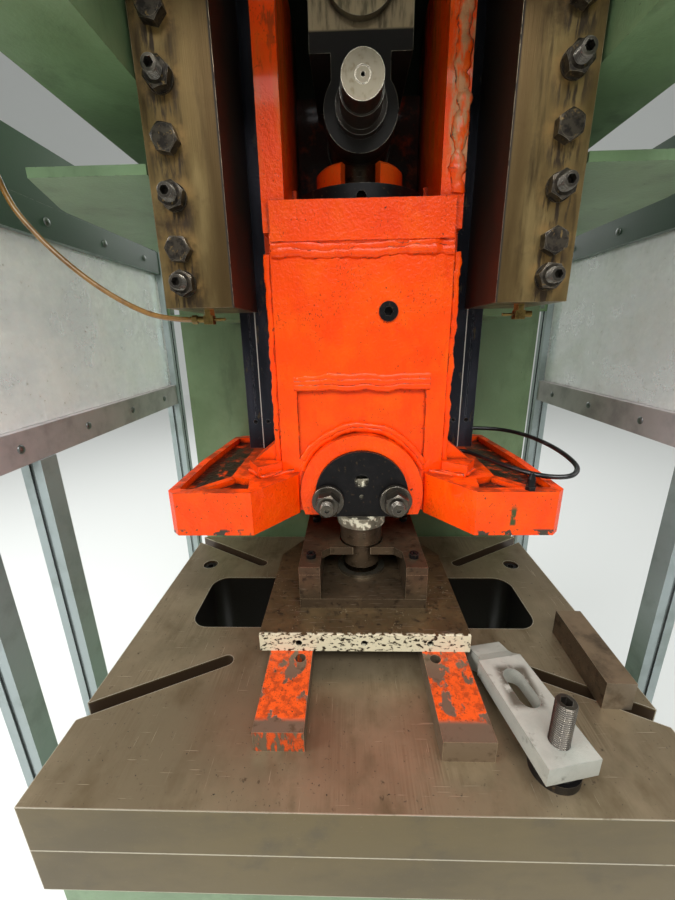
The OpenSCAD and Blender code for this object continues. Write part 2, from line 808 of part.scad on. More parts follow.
// Round punch with its collar and the stud that screws into the holder
module punch() {
  color(dark) translate([0, die_y, tip_z]) union() {
    cylinder(r1 = punch_r - 0.6, r2 = punch_r, h = 0.6);
    translate([0, 0, 0.6]) cylinder(r = punch_r, h = punch_l - 0.6);
    translate([0, 0, punch_l]) cylinder(r = collar_r, h = collar_h);
    translate([0, 0, punch_l + collar_h - 1]) cylinder(r = 10, h = 26);
  }
}

// Two parallels under the die base
module parallels() {
  color("#8a6b4a") for (p = [[-145, 65, 1], [89, 56, -1]]) difference() {
    block([p[0], y0 + p[1], zb], [p[0] + parallel_w, die_y + 150, base_z]);
    translate([p[0] + parallel_w / 2 + p[2] * 15, y0 + 180, zb - 1]) cylinder(r = 8, h = parallel_h + 2);
  }
}

// Die base plate with chamfered back corners and three holes in its front edge
module die_base() {
  front = die_y - base_d / 2;
  back = die_y + base_d / 2;
  color("#4a4038") difference() {
    translate([0, 0, base_z]) linear_extrude(base_t) polygon([
      [-base_x, front], [base_x, front], [base_x, back - 94], [base_x - 60, back], [60 - base_x, back],
      [-base_x, back - 94]
    ]);
    translate([0, die_y, base_z - 1]) cylinder(r = punch_r + 1.5, h = base_t + 2);
    for (x = [-101, 0, 101]) rod_y(x, front - 1, base_z + base_t / 2, 5, 31);
    for (s = sides) for (y = [-68, 68]) translate([s * die_screw_x, die_y + y, base_z + 8])
      cylinder(r = 5.05, h = base_t);
  }
}

base_d = 320;
die_screw_x = die_x - 18;
die_d = 197;
die_front = die_y - 99;

// Lower die block
module die_block() {
  color("#3b332c") difference() {
    block([-die_x, die_front, block_z], [die_x, die_front + die_d, ring_z]);
    translate([0, die_y, block_z - 1]) cylinder(r = punch_r + 1, h = die_t + 2);
    translate([0, die_y, block_z + 8]) cylinder(r = ring_r + 0.05, h = die_t);
    for (s = sides) for (y = [-68, 68]) translate([s * die_screw_x, die_y + y, block_z - 1])
      cylinder(r = 5.5, h = die_t + 2);
  }
}

ring_r = 43.6;

// Hardened cutting ring, let into the die block
module die_ring() {
  color("#8d857a") translate([0, die_y, block_z + 8]) difference() {
    cylinder(r = ring_r, h = die_t - 8 + 6);
    translate([0, 0, -1]) cylinder(r = punch_r + die_gap, h = 20);
  }
}

// Side rails that carry the stripper plate
module stripper_rails() {
  color("#3b332c") for (s = sides) difference() {
    block([s > 0 ? die_x - 35 : -die_x, die_front, ring_z],
      [s > 0 ? die_x : 35 - die_x, die_front + die_d, strip_z]);
    for (y = [-68, 68]) translate([s * die_screw_x, die_y + y, ring_z - 1])
      cylinder(r = 5.5, h = strip_rail_h + 2);
  }
}

// Stripper plate with its front notch and the hole for the punch
notch_x = 70;
module stripper_plate() {
  color("#39322c") difference() {
    translate([0, 0, strip_z]) linear_extrude(strip_t) difference() {
      translate([-die_x, die_front]) square([2 * die_x, die_d]);
      polygon([
        [-notch_x, die_front - 1], [-notch_x, die_front + 48], [-notch_x + 14, die_front + 62],
        [notch_x - 14, die_front + 62], [notch_x, die_front + 48], [notch_x, die_front - 1]
      ]);
      translate([0, die_y]) circle(collar_r + 2);
    }
    for (s = sides) for (y = [-68, 68]) translate([s * die_screw_x, die_y + y, strip_z - 1])
      cylinder(r = 5.5, h = strip_t + 2);
  }
}

// Socket screws through the stripper, its rails and the die block
module die_screws() {
  color(dark) for (s = sides) for (y = [-68, 68])
    translate([s * die_screw_x, die_y + y, 0]) difference() {
      union() {
        translate([0, 0, base_z + 12]) cylinder(r = 5, h = strip_z + strip_t - base_z - 11);
        translate([0, 0, strip_z + strip_t]) cylinder(r = 8, h = 8);
      }
      translate([0, 0, strip_z + strip_t + 3]) cylinder(r = 4.4, h = 6, $fn = 6);
    }
}

// Place of the clamping strap on the bolster
strap_w = 66;
strap_low = 20;
strap_t = 25;
module at_strap() {
  translate([226, y0 + 24, zb]) rotate([0, 0, 11]) children();
}

// Clamping strap with its slot, screw hole and bent nose
module clamp_strap() {
  color("#8d928c") at_strap() difference() {
    intersection() {
      rotate([90, 0, 90]) translate([0, 0, -strap_w / 2]) linear_extrude(strap_w) polygon([
        [0, strap_low], [0, strap_low + strap_t], [150, strap_low + strap_t], [168, 36], [192, 30],
        [192, 0], [176, 0], [146, strap_low]
      ]);
      translate([0, 0, -1]) linear_extrude(60) polygon([
        [-strap_w / 2, 0], [strap_w / 2, 0], [strap_w / 2, 150], [strap_w / 2 - 7, 158], [strap_w / 2 - 7, 192],
        [7 - strap_w / 2, 192], [7 - strap_w / 2, 158], [-strap_w / 2, 150]
      ]);
    }
    translate([0, 27, 0]) cylinder(r = 12.05, h = 60);
    for (y = [82, 116]) translate([0, y, 0]) cylinder(r = 13.5, h = 60);
    translate([-13.5, 82, 0]) cube([27, 34, 60]);
  }
}

// Set screw that stands in the strap
module clamp_screw() {
  color("#6b665e") at_strap() translate([0, 27, 0]) difference() {
    translate([0, 0, 10]) cylinder(r = 12, h = 94);
    translate([0, 0, 92]) cylinder(r = 6.9, h = 13, $fn = 6);
  }
}

// Round foot under the set screw
module clamp_foot() {
  color("#3c3835") at_strap() translate([0, 27, 0]) difference() {
    union() {
      cylinder(r = 29, h = 12);
      translate([0, 0, 12]) cylinder(r = 24, h = strap_low - 12);
    }
    translate([0, 0, 10]) cylinder(r = 12.05, h = 20);
  }
}

// Flat bar standing on its edge beside the die
module spacer_bar() {
  color("#5a4a3c") translate([bolster_x - 52, y0 + 200, zb]) rotate([0, 0, -2]) translate([-20, -72, 0])
    cube([40, 144, 45]);
}

wheel_y = back_y + wheel_off;
shaft_front = bearing_y - 18;
shaft_back = wheel_y + wheel_w + 66;
groove = 12;
hub_r = 100;

// Crankshaft with its eccentric at top dead centre
module crankshaft() {
  color("#8f8a80") difference() {
    union() {
      rod_y(0, shaft_front, crank_z, journal_r, shaft_back - shaft_front);
      rod_y(0, drive_y - rod_w / 2 - 6, crank_z + throw, ecc_r, rod_w + 12);
      rod_y(0, column_y + wall + 4, crank_z, journal_r + 14, 20);
    }
    rod_y(0, shaft_front - 1, crank_z, 12, 30);
    // Key seat of the clutch
    block([-9, shaft_back - 50, crank_z + journal_r - 8], [9, shaft_back + 1, crank_z + journal_r + 1]);
  }
}

// Bronze bushes in the bearing wall and in both walls of the column
module crank_bushes() {
  color("#b08a4a") for (b = [[bearing_y - 6, bearing_wall + 12], [column_y - 6, wall + 6],
      [back_y - wall, wall + 6]])
    ring_y(0, b[0], crank_z, bush_r - 0.05, journal_r + bearing_gap, b[1]);
}

// Flywheel with a rim for the belts, a web with round holes and a hub
module flywheel() {
  web = 30;
  color("#4b4f4a") translate([0, wheel_y, crank_z]) rotate([-90, 0, 0]) difference() {
    rotate_extrude($fn = 96) polygon([
      [hub_r, 0], [hub_r + 36, 0], [hub_r + 36, (wheel_w - web) / 2], [wheel_r - 62, (wheel_w - web) / 2],
      [wheel_r - 54, 0], [wheel_r, 0], [wheel_r, 12], [wheel_r - groove, 16],
      [wheel_r - groove, wheel_w - 16], [wheel_r, wheel_w - 12], [wheel_r, wheel_w], [wheel_r - 54, wheel_w],
      [wheel_r - 62, (wheel_w + web) / 2], [hub_r + 36, (wheel_w + web) / 2], [hub_r + 36, wheel_w],
      [hub_r, wheel_w]
    ]);
    for (a = [30:60:330]) rotate([0, 0, a]) translate([216, 0, 0]) cylinder(r = 48, h = wheel_w);
  }
}

// Roller bearing between the flywheel and the crankshaft
module flywheel_bearing() {
  color("silver") ring_y(0, wheel_y + 4, crank_z, hub_r - 0.05, journal_r + bearing_gap, wheel_w - 8);
}

// Clutch and brake unit on the end of the crankshaft
module clutch_brake() {
  y = wheel_y + wheel_w + 4;
  color("#7d8288") difference() {
    union() {
      for (p = [[0, 165, 10], [10, 150, 6], [16, 165, 10], [26, 150, 6], [32, 165, 10], [42, 110, 22]])
        rod_y(0, y + p[0], crank_z, p[1], p[2] + small);
      rod_y(0, y + 64, crank_z, 80, 8);
      rod_y(0, y + 72 - small, crank_z, 22, 24);
    }
    rod_y(0, y - 1, crank_z, journal_r + bearing_gap, shaft_back - y + 1.3);
    for (a = [0:45:315]) rod_y(130 * cos(a), y - 1, crank_z + 130 * sin(a), 7, 44);
  }
}

belt_w = 15;
belt_pitch = 22;
motor_z = crank_z - belt_c;

// Three V-belts between the motor pulley and the flywheel
module drive_belts() {
  r1 = wheel_r - groove + belt_gap;
  r2 = pulley_r - groove + belt_gap;
  color("#26241f") for (i = [-1:1]) standing(wheel_y + wheel_w / 2 + i * belt_pitch - belt_w / 2, belt_w)
    difference() {
      belt_outline(r1 + belt_t, r2 + belt_t);
      belt_outline(r1, r2);
    }
}

// Sheet guard around the flywheel and the belts
module belt_guard() {
  t = 4;
  depth = wheel_off + wheel_w + 14;
  y = back_y;
  r1 = wheel_r + 32;
  r2 = pulley_r + 70;
  color("#d9c43a") difference() {
    standing(y, depth) wrap_outline(r1, r2);
    translate([0, -small, 0]) standing(y, depth - t) wrap_outline(r1 - t, r2 - t);
    rod_y(0, y, crank_z, 172, depth + 1);
    rod_y(0, y, motor_z, 60, depth + 1);
    for (a = [20:40:340]) rod_y(265 * cos(a), y + depth - 10, crank_z + 265 * sin(a), 26, 20);
  }
}

stator_y = wheel_y + wheel_w + motor_off;
motor_back = stator_y + motor_l;
rotor_r = 70;

// Motor casing: finned stator, end shields, feet and terminal box
module motor() {
  fan_d = 58;
  len = motor_back - fan_d - stator_y;
  color("#5b6f74") difference() {
    union() {
      rod_y(0, stator_y, motor_z, motor_r - 14, motor_back - stator_y);
      rod_y(0, stator_y, motor_z, motor_r - 4, 12);
      rod_y(0, stator_y + len, motor_z, motor_r - 6, fan_d);
      for (a = [-25:11.5:205]) translate([0, stator_y + 12, motor_z]) rotate([0, -a, 0])
        block([motor_r - 20, 0, -2], [motor_r, len - 18, 2]);
      for (s = sides) block([s * 75 - 22, stator_y + 14, motor_z - motor_r - shelf_drop],
        [s * 75 + 22, stator_y + len - 14, motor_z - 66]);
      block([-45, stator_y + 26, motor_z + motor_r - 20], [45, stator_y + 110, motor_z + motor_r + 34]);
    }
    rod_y(0, stator_y + 12, motor_z, rotor_r + 1, len - 16);
    rod_y(0, stator_y - 1, motor_z, shaft_r + bearing_gap, motor_l + 2);
    rod_y(0, stator_y + len + 3, motor_z, motor_r - 10, fan_d - 6);
    for (r = [30, 50, 70, 90]) difference() {
      rod_y(0, motor_back - 4, motor_z, r + 4, 5);
      rod_y(0, motor_back - 5, motor_z, r - 4, 7);
      block([-6, motor_back - 6, motor_z - 120], [6, motor_back + 2, motor_z + 120]);
      block([-120, motor_back - 6, motor_z - 6], [120, motor_back + 2, motor_z + 6]);
    }
  }
}

shaft_r = 19;
shelf_drop = 58;

// Rotor: shaft, laminated core and fan
module motor_rotor() {
  len = motor_back - 58 - stator_y;
  color("#8f8a80") union() {
    rod_y(0, wheel_y + 2, motor_z, shaft_r, motor_back - 24 - wheel_y);
    rod_y(0, stator_y + 22, motor_z, rotor_r, len - 36);
    rod_y(0, stator_y + len + 14, motor_z, 36, 26);
    for (a = [0:60:300]) translate([0, stator_y + len + 14, motor_z]) rotate([0, a, 0])
      block([30, 0, -2], [86, 24, 2]);
  }
}

// Grooved pulley on the motor shaft
module motor_pulley() {
  color("#4b4f4a") translate([0, wheel_y + 4, motor_z]) rotate([-90, 0, 0]) rotate_extrude() polygon([
    [shaft_r + 0.05, 0], [pulley_r, 0], [pulley_r, 8], [pulley_r - groove, 12],
    [pulley_r - groove, wheel_w - 20], [pulley_r, wheel_w - 16], [pulley_r, wheel_w - 8],
    [shaft_r + 0.05, wheel_w - 8]
  ]);
}

// Shelf that carries the motor on the back of the column
module motor_shelf() {
  top = motor_z - motor_r - shelf_drop;
  far = motor_back - 40;
  color(green) union() {
    block([-150, back_y, top - 16], [150, far, top]);
    block([-150, back_y, top - 260], [150, back_y + 14, top - 16]);
    for (s = sides) mirror([s < 0 ? 1 : 0, 0, 0]) translate([120, 0, 0]) rotate([90, 0, 90])
      linear_extrude(14) polygon([[back_y + 14, top - 16], [far - 20, top - 16], [back_y + 14, top - 250]]);
  }
}

// A swept tube: one polyhedron along the points of a route
function unit(v) = v / norm(v);
function spline(p, i, t) =
  let (n = len(p) - 1, a = p[max(i - 1, 0)], b = p[i], c = p[min(i + 1, n)], d = p[min(i + 2, n)])
  0.5 * ((2 * b) + (c - a) * t + (2 * a - 5 * b + 4 * c - d) * t * t + (3 * b - a - 3 * c + d) * t * t * t);
function route(p, steps) = [
  for (i = [0:len(p) - 2]) for (k = [0:steps - 1]) spline(p, i, k / steps), p[len(p) - 1]
];
function heading(q, i) = unit(q[min(i + 1, len(q) - 1)] - q[max(i - 1, 0)]);
module swept_tube(points, r, steps, n) {
  q = route(points, steps);
  m = len(q);
  rings = [for (i = [0:m - 1]) let (
      h = heading(q, i), u = unit(cross(h, abs(h[2]) > 0.9 ? [1, 0, 0] : [0, 0, 1])), v = cross(h, u))
    for (k = [0:n - 1]) q[i] + r * (u * cos(360 * k / n) + v * sin(360 * k / n))];
  polyhedron(points = rings, convexity = 6, faces = concat(
    [[for (k = [0:n - 1]) k]], [[for (k = [n - 1:-1:0]) (m - 1) * n + k]],
    [for (i = [0:m - 2]) for (k = [0:n - 1]) let (l = (k + 1) % n)
      [i * n + l, i * n + k, (i + 1) * n + k, (i + 1) * n + l]]
  ));
}

// Oil fittings: elbows under the gibs and the distributor on the crown's side
lube_x = bolt_x - 16;
lube_y = gib_y - gib_d + 40;
lube_z = gib_z - 14;
dist_z = crown_z + 86;
tube_r = 4;
module lube_fittings() {
  color("#8b7a52") {
    for (s = sides) translate([s * lube_x, lube_y, 0]) {
      translate([0, 0, gib_z - 9]) cylinder(r = 5, h = 34);
      hex_z(0, 0, gib_z - 9, 14, 9 - small);
      translate([-7, -7, lube_z - 7]) cube([14, 14, 12.5]);
      translate([-s * 6, 0, lube_z]) rotate([0, s * 90, 0]) cylinder(r = 4.6, h = 24);
      translate([-s * 24, 0, lube_z]) rotate([0, s * 90, 0]) cylinder(r = 2, h = 20);
    }
    translate([-lube_x - 18, lube_y, lube_z]) rotate([0, -90, 0]) cylinder(r = 6.5, h = 8, $fn = 6);
    // Distributor
    block([-frame_x - 22, lube_y - 20, dist_z - 30], [-frame_x, lube_y + 100, dist_z + 14]);
    translate([-frame_x - 22, lube_y, dist_z]) rotate([0, -90, 0]) cylinder(r = 6, h = 12);
    for (i = [1:2]) translate([-frame_x - 22, lube_y + 36 * i, dist_z]) rotate([0, -90, 0])
      cylinder(r = 6, h = 7);
  }
}

// Route of the oil tube from the left gib to the distributor
lube_route = [
  [-256, -430, 1377], [-285, -428, 1379], [-320, -425, 1386], [-357, -422, 1402], [-399, -420, 1428],
  [-440, -420, 1462], [-476, -420, 1500], [-504, -420, 1542], [-517, -423, 1600], [-520, -427, 1660],
  [-510, -430, 1706], [-484, -430, 1733], [-456, -430, 1741], [-434, -430, 1741]
];
module lube_tube() {
  color("#9a6a2c") swept_tube(lube_route, tube_r, 3, 8);
}

// Air fittings on the slide's right side
air_x = rail_x - rail_w;
air_a = [air_x, y0 + 520, slide_z + 108];
air_b = [air_x, y0 + 440, slide_z + 85];
module air_fittings() {
  color("#3a3c40") for (p = [air_a, air_b]) translate(p) rotate([0, 90, 0]) {
    cylinder(r = 7, h = 10, $fn = 6);
    translate([0, 0, 10 - small]) cylinder(r = 5.5, h = 8);
  }
}

// Route of the air hose, a loop over the right wing
air_route = [
  [178, -230, 1155], [205, -230, 1156], [245, -236, 1158], [290, -254, 1159], [322, -292, 1158],
  [342, -345, 1154], [350, -398, 1148], [347, -440, 1141], [328, -462, 1135], [300, -460, 1132],
  [274, -440, 1131], [251, -406, 1131], [233, -370, 1131], [219, -340, 1131], [204, -320, 1132],
  [178, -310, 1132]
];
module air_hose() {
  color("#1d1d1f") swept_tube(air_route, tube_r, 3, 8);
}

// Small blow nozzle on the right wing's rim
module blow_nozzle() {
  color("#2a2b2e") translate([256, y0 + 267, wing_top]) union() {
    cylinder(r = 8, h = 6, $fn = 6);
    translate([0, 0, 6 - small]) cylinder(r = 6, h = 12);
    translate([0, 0, 18 - 2 * small]) cylinder(r1 = 6, r2 = 2.5, h = 10);
  }
}

post_ys = [y0 + 20, y0 + guard_back - post_w];
pane_low = zb + sill_h + sash_h;
head_low = pane_low + pane_h;
pane_t = 5;
pane_x = guard_x - post_w / 2;
guard_foot = 12;
board_h = 110;

// Posts of the side guards on their foot plates, and short posts under the sill
stub_ys = [y0 + 200, y0 + 360];
module guard_posts() {
  color("#b9c7cc") for (s = sides) for (y = stub_ys) mirror([s < 0 ? 1 : 0, 0, 0]) difference() {
    block([guard_x - post_w, y, guard_foot + 100], [guard_x, y + post_w, zb + sill_h]);
    for (sy = [-1, 1]) translate([pane_x - 4, y + post_w / 2 + sy * post_w / 2 - 4, guard_foot])
      cube([8, 8, 1500]);
  }
  color("#55585a") for (s = sides) for (y = post_ys) mirror([s < 0 ? 1 : 0, 0, 0])
    block([guard_x - 2 * post_w, y - 8, 0], [guard_x, y + post_w + 8, guard_foot]);
  color("#b9c7cc") for (s = sides) for (y = post_ys) mirror([s < 0 ? 1 : 0, 0, 0]) difference() {
    block([guard_x - post_w, y, guard_foot], [guard_x, y + post_w, head_low + sash_h + board_h]);
    // Slots of the profile, up to the height of the panes
    for (sy = [-1, 1]) translate([pane_x, y + post_w / 2 + sy * post_w / 2, guard_foot - 1])
      translate([-4, -4, 0]) cube([8, 8, 1500]);
    for (sx = [-1, 1]) translate([pane_x + sx * post_w / 2, y + post_w / 2, guard_foot - 1])
      translate([-4, -4, 0]) cube([8, 8, 1500]);
  }
}

// Rails between the posts: sill, head and the board above
module guard_rails() {
  near = post_ys[0] + post_w;
  far = post_ys[1];
  color("#8f9b9b") for (s = sides) mirror([s < 0 ? 1 : 0, 0, 0]) {
    difference() {
      union() {
        block([guard_x - post_w + 3, near, zb + sill_h], [guard_x - 3, far, pane_low]);
        block([guard_x - post_w + 3, near, head_low], [guard_x - 3, far, head_low + sash_h]);
      }
      block([pane_x - pane_t / 2 - 0.3, near - 1, pane_low - 10],
        [pane_x + pane_t / 2 + 0.3, far + 1, head_low + 10]);
    }
    block([pane_x - 4, near, head_low + sash_h], [pane_x + 4, far, head_low + sash_h + board_h]);
    block([guard_x - post_w + 8, near, guard_foot + 70], [guard_x - 8, far, guard_foot + 100]);
  }
}

// Clear panes between the rails
module guard_panes() {
  color("#dfe6e4") for (s = sides) mirror([s < 0 ? 1 : 0, 0, 0])
    block([pane_x - pane_t / 2, post_ys[0] + post_w, pane_low - 10],
      [pane_x + pane_t / 2, post_ys[1], head_low + 10]);
}

// Round-headed screws in the rails
module guard_screws() {
  n = 5;
  run = post_ys[1] - post_ys[0] - post_w;
  rows = [zb + sill_h + sash_h / 2, head_low + sash_h / 2];
  color("#55585a") for (s = sides) mirror([s < 0 ? 1 : 0, 0, 0]) for (z = rows) for (i = [0:n - 1])
    translate([guard_x - post_w + 3, post_ys[0] + post_w + run * (i + 0.5) / n, z])
      rotate([0, -90, 0]) cylinder(r1 = 8, r2 = 6, h = 4);
}

// Angle brackets between the frame and the rear posts
module guard_brackets() {
  y = post_ys[1];
  color("#6f8f5a") for (s = sides) mirror([s < 0 ? 1 : 0, 0, 0]) for (z = [zb - 500, zb + 560]) {
    block([frame_x, y + 4, z], [guard_x - post_w, y + post_w - 4, z + 8]);
    block([frame_x, y + 4, z + 8 - small], [frame_x + 8, y + post_w - 4, z + 60]);
    block([guard_x - post_w - 8, y + 4, z + 8 - small], [guard_x - post_w, y + post_w - 4, z + 60]);
  }
}

frame_bed();
frame_column();
frame_crown();
bed_plate();
bolster();
bolster_bolts();
levelling_feet();
crown_cover();
side_covers();
gib_left();
gib_right();
gib_bolts();
gib_set_screws();
slide_body();
slide_wings();
guide_rails();
rail_screws();
shank_cap();
cap_studs();
cap_nuts();
body_plug();
ring_nut();
adjusting_screw();
wrist_pin();
connecting_rod();
rod_cap_bolts();
punch_holder();
punch();
parallels();
die_base();
die_block();
die_ring();
stripper_rails();
stripper_plate();
die_screws();
clamp_strap();
clamp_screw();
clamp_foot();
spacer_bar();
crankshaft();
crank_bushes();
flywheel();
flywheel_bearing();
clutch_brake();
drive_belts();
belt_guard();
motor();
motor_rotor();
motor_pulley();
motor_shelf();
lube_fittings();
lube_tube();
air_fittings();
air_hose();
blow_nozzle();
guard_posts();
guard_rails();
guard_panes();
guard_screws();
guard_brackets();
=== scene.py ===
import math
from functools import partial

import bpy
from mathutils import Matrix, Vector


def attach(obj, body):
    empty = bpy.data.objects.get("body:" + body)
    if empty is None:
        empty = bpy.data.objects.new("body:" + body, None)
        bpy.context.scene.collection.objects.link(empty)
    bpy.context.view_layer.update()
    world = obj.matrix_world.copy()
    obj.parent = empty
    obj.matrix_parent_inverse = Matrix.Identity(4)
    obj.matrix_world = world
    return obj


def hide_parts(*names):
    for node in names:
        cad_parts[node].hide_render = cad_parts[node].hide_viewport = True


bl_info = {
    "name": "Mechanical stamping press",
    "version": (1, 0, 0),
    "blender": (4, 5, 0),
    "location": "3D View > Sidebar > Press",
    "description": "Dresses the press with welds, threads, hoses, paint and worn steel",
    "category": "Object",
}

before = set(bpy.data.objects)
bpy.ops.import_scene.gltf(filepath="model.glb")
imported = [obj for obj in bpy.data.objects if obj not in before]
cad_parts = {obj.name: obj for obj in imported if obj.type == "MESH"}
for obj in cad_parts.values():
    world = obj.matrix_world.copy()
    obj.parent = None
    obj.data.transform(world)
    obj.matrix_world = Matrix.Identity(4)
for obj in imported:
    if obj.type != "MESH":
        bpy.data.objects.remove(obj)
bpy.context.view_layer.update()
MM = 0.001


def mm(x, y, z):
    """A point in millimetres of the row frame, in metres."""
    return Vector((x * MM, y * MM, z * MM))


def linear(text):
    """An sRGB hex colour as linear red, green, blue and one."""
    parts = [int(text[i : i + 2], 16) / 255 for i in (1, 3, 5)]
    return tuple(c / 12.92 if c <= 0.04045 else ((c + 0.055) / 1.055) ** 2.4 for c in parts) + (1.0,)


def add(tree, kind, settings=None, **inputs):
    """Adds a node with its settings; inputs are given by name, or by _0, _1 where a node has no names of its own."""
    node = tree.nodes.new(kind)
    for name, value in (settings or {}).items():
        setattr(node, name, value)
    for name, value in inputs.items():
        key = int(name[1:]) if name[0] == "_" else name.replace("_", " ")
        socket = node.inputs[key]
        if isinstance(value, bpy.types.NodeSocket):
            tree.links.new(value, socket)
        else:
            socket.default_value = value
    return node


def emptied(owner):
    """The node tree of a material or a world, with nothing in it."""
    owner.use_nodes = True
    owner.node_tree.nodes.clear()
    return owner.node_tree


def reckon(tree, operation, *values, clamp=False):
    """The result of one Math node."""
    inputs = {f"_{i}": v for i, v in enumerate(values)}
    return add(tree, "ShaderNodeMath", {"operation": operation, "use_clamp": clamp}, **inputs).outputs[0]


class Finish:
    """One material while it is made: coloured layers that lie on each other, each through a mask."""

    def __init__(self, name, base, metal=0.0, rough=0.5, coat=0.0, coat_rough=0.1, shine=0.5):
        self.material = bpy.data.materials.new(name)
        self.tree = emptied(self.material)
        self.place = add(self.tree, "ShaderNodeTexCoord").outputs["Object"]
        self.color = linear(base)
        self.metal = metal
        self.rough = rough
        self.height = None
        self.coat = (coat, coat_rough)
        self.shine = shine
        self.alpha = 1.0
        self.near = {}

    def math(self, *values, clamp=False):
        return reckon(self.tree, *values, clamp=clamp)

    def ramp(self, value, low, high):
        """0 below low, 1 above high, smooth between; low above high turns it round."""
        start, end, first, last = (low, high, 0.0, 1.0) if low < high else (high, low, 1.0, 0.0)
        return add(self.tree, "ShaderNodeMapRange", {"interpolation_type": "SMOOTHSTEP"}, Value=value, From_Min=start,
                   From_Max=end, To_Min=first, To_Max=last).outputs[0]

    def spots(self, size, low, high, stretch=None, tall=1, shift=0.0, detail=5.0, turn=(0, 0, 0)):
        """Mask of patches of about that size in millimetres, drawn out along the axes by stretch, or tall along Z."""
        scale = [1 / (size * MM * s) for s in stretch or (1, 1, tall)]
        where = add(self.tree, "ShaderNodeMapping", Vector=self.place, Scale=scale, Rotation=turn,
                    Location=(shift, shift * 0.7, shift * 1.3)).outputs[0]
        grain = add(self.tree, "ShaderNodeTexNoise", Vector=where, Scale=1.0, Detail=detail, Roughness=0.6)
        return self.ramp(grain.outputs[0], low, high)

    def edges(self, radius, share=0.5, size=9.0):
        """Mask of worn outer edges, in millimetres, broken up by patches; on some finishes a painted highlight is laid
        along them too.
        """
        corner = self.corners(radius * 5)
        rounded = add(self.tree, "ShaderNodeBevel", {"samples": 4}, Radius=radius * MM).outputs[0]
        flat = add(self.tree, "ShaderNodeNewGeometry").outputs["True Normal"]
        dot = add(self.tree, "ShaderNodeVectorMath", {"operation": "DOT_PRODUCT"}, _0=rounded, _1=flat)
        bent = self.ramp(dot.outputs["Value"], 0.998, 0.9)
        outer = self.math("MULTIPLY", bent, self.math("SUBTRACT", 1.0, corner, clamp=True))
        return self.math("MULTIPLY", outer, self.spots(size, 0.62 - 0.3 * share, 0.72 - 0.3 * share))

    def corners(self, reach):
        """Mask of inner corners by ambient occlusion, up to that distance in millimetres: colour laid through it is
        painted shade as well as dirt.
        """
        if reach not in self.near:
            shade = add(self.tree, "ShaderNodeAmbientOcclusion", {"samples": 4, "only_local": True},
                        Distance=reach * MM).outputs["AO"]
            self.near[reach] = self.ramp(shade, 0.85, 0.35)
        return self.near[reach]

    def along(self, axis, low, high):
        """Mask by place: 0 at low, 1 at high, in millimetres along x, y or z; |x| by the letter s."""
        parts = add(self.tree, "ShaderNodeSeparateXYZ", Vector=self.place).outputs
        value = parts["xyz".index(axis)] if axis != "s" else self.math("ABSOLUTE", parts[0])
        return self.ramp(value, low * MM, high * MM)

    def facing(self, axis, sign=1):
        """Mask of faces that look along an axis."""
        normal = add(self.tree, "ShaderNodeNewGeometry").outputs["True Normal"]
        part = add(self.tree, "ShaderNodeSeparateXYZ", Vector=normal).outputs["xyz".index(axis)]
        return self.ramp(self.math("MULTIPLY", part, float(sign)), 0.6, 0.8)

    def around(self, spots, inner, outer):
        """Mask round points (x or |x|, z) in millimetres, seen along Y."""
        parts = add(self.tree, "ShaderNodeSeparateXYZ", Vector=self.place).outputs
        side = self.math("ABSOLUTE", parts[0])
        total = 0.0
        for x, z in spots:
            dx = self.math("SUBTRACT", side, x * MM)
            dz = self.math("SUBTRACT", parts[2], z * MM)
            far = self.math("SQRT", self.math("ADD", self.math("MULTIPLY", dx, dx), self.math("MULTIPLY", dz, dz)))
            total = self.math("MAXIMUM", total, self.ramp(far, outer * MM, inner * MM))
        return total

    def both(self, first, *masks):
        """Mask of the places that all of these masks share."""
        for mask in masks:
            first = self.math("MULTIPLY", first, mask)
        return first

    def layer(self, mask, color=None, metal=None, rough=None, height=None):
        """Lays a colour, a metal share, a roughness or a height in millimetres over what is there."""
        if color is not None:
            settings = {"data_type": "RGBA"}
            mix = add(self.tree, "ShaderNodeMix", settings, _0=mask, _6=self.color, _7=linear(color))
            self.color = mix.outputs[2]
        for name, value in (("metal", metal), ("rough", rough)):
            if value is not None:
                mix = add(self.tree, "ShaderNodeMix", _0=mask, _2=getattr(self, name), _3=value)
                setattr(self, name, mix.outputs[0])
        if height is not None:
            lift = self.math("MULTIPLY", mask, height * MM)
            self.height = lift if self.height is None else self.math("ADD", self.height, lift)

    def done(self):
        """The material with all its layers."""
        shader = add(self.tree, "ShaderNodeBsdfPrincipled", Base_Color=self.color, Metallic=self.metal,
                     Roughness=self.rough, Alpha=self.alpha, Coat_Weight=self.coat[0],
                     Coat_Roughness=self.coat[1], Specular_IOR_Level=self.shine)
        if self.height is not None:
            bump = add(self.tree, "ShaderNodeBump", Height=self.height, Distance=1.0, Strength=1.0)
            self.tree.links.new(bump.outputs[0], shader.inputs["Normal"])
        add(self.tree, "ShaderNodeOutputMaterial", Surface=shader.outputs[0])
        return self.material


LOOKS = {}
FINISHES = {}


def look(name, base, *nodes, **settings):
    """Keeps a finish under its function's name: its own name, first colour, CAD nodes that wear it, and settings."""

    def keep(paint):
        LOOKS[paint.__name__] = paint, name, base, nodes, settings
        return paint

    return keep


def finish(key):
    """The finished material of that look, made once."""
    if key not in FINISHES:
        paint, name, base, _, settings = LOOKS[key]
        f = Finish(name, base, **settings)
        paint(f)
        FINISHES[key] = f.done()
    return FINISHES[key]


# In millimetres: bottom of the guards' head rails, and |x| and z of the gibs' bolts and set screws
HEAD_RAIL_Z = 1532
GIB_SCREWS = [(246, 1391 + h) for h in (31, 73, 135, 197, 261, 325, 387, 451)]


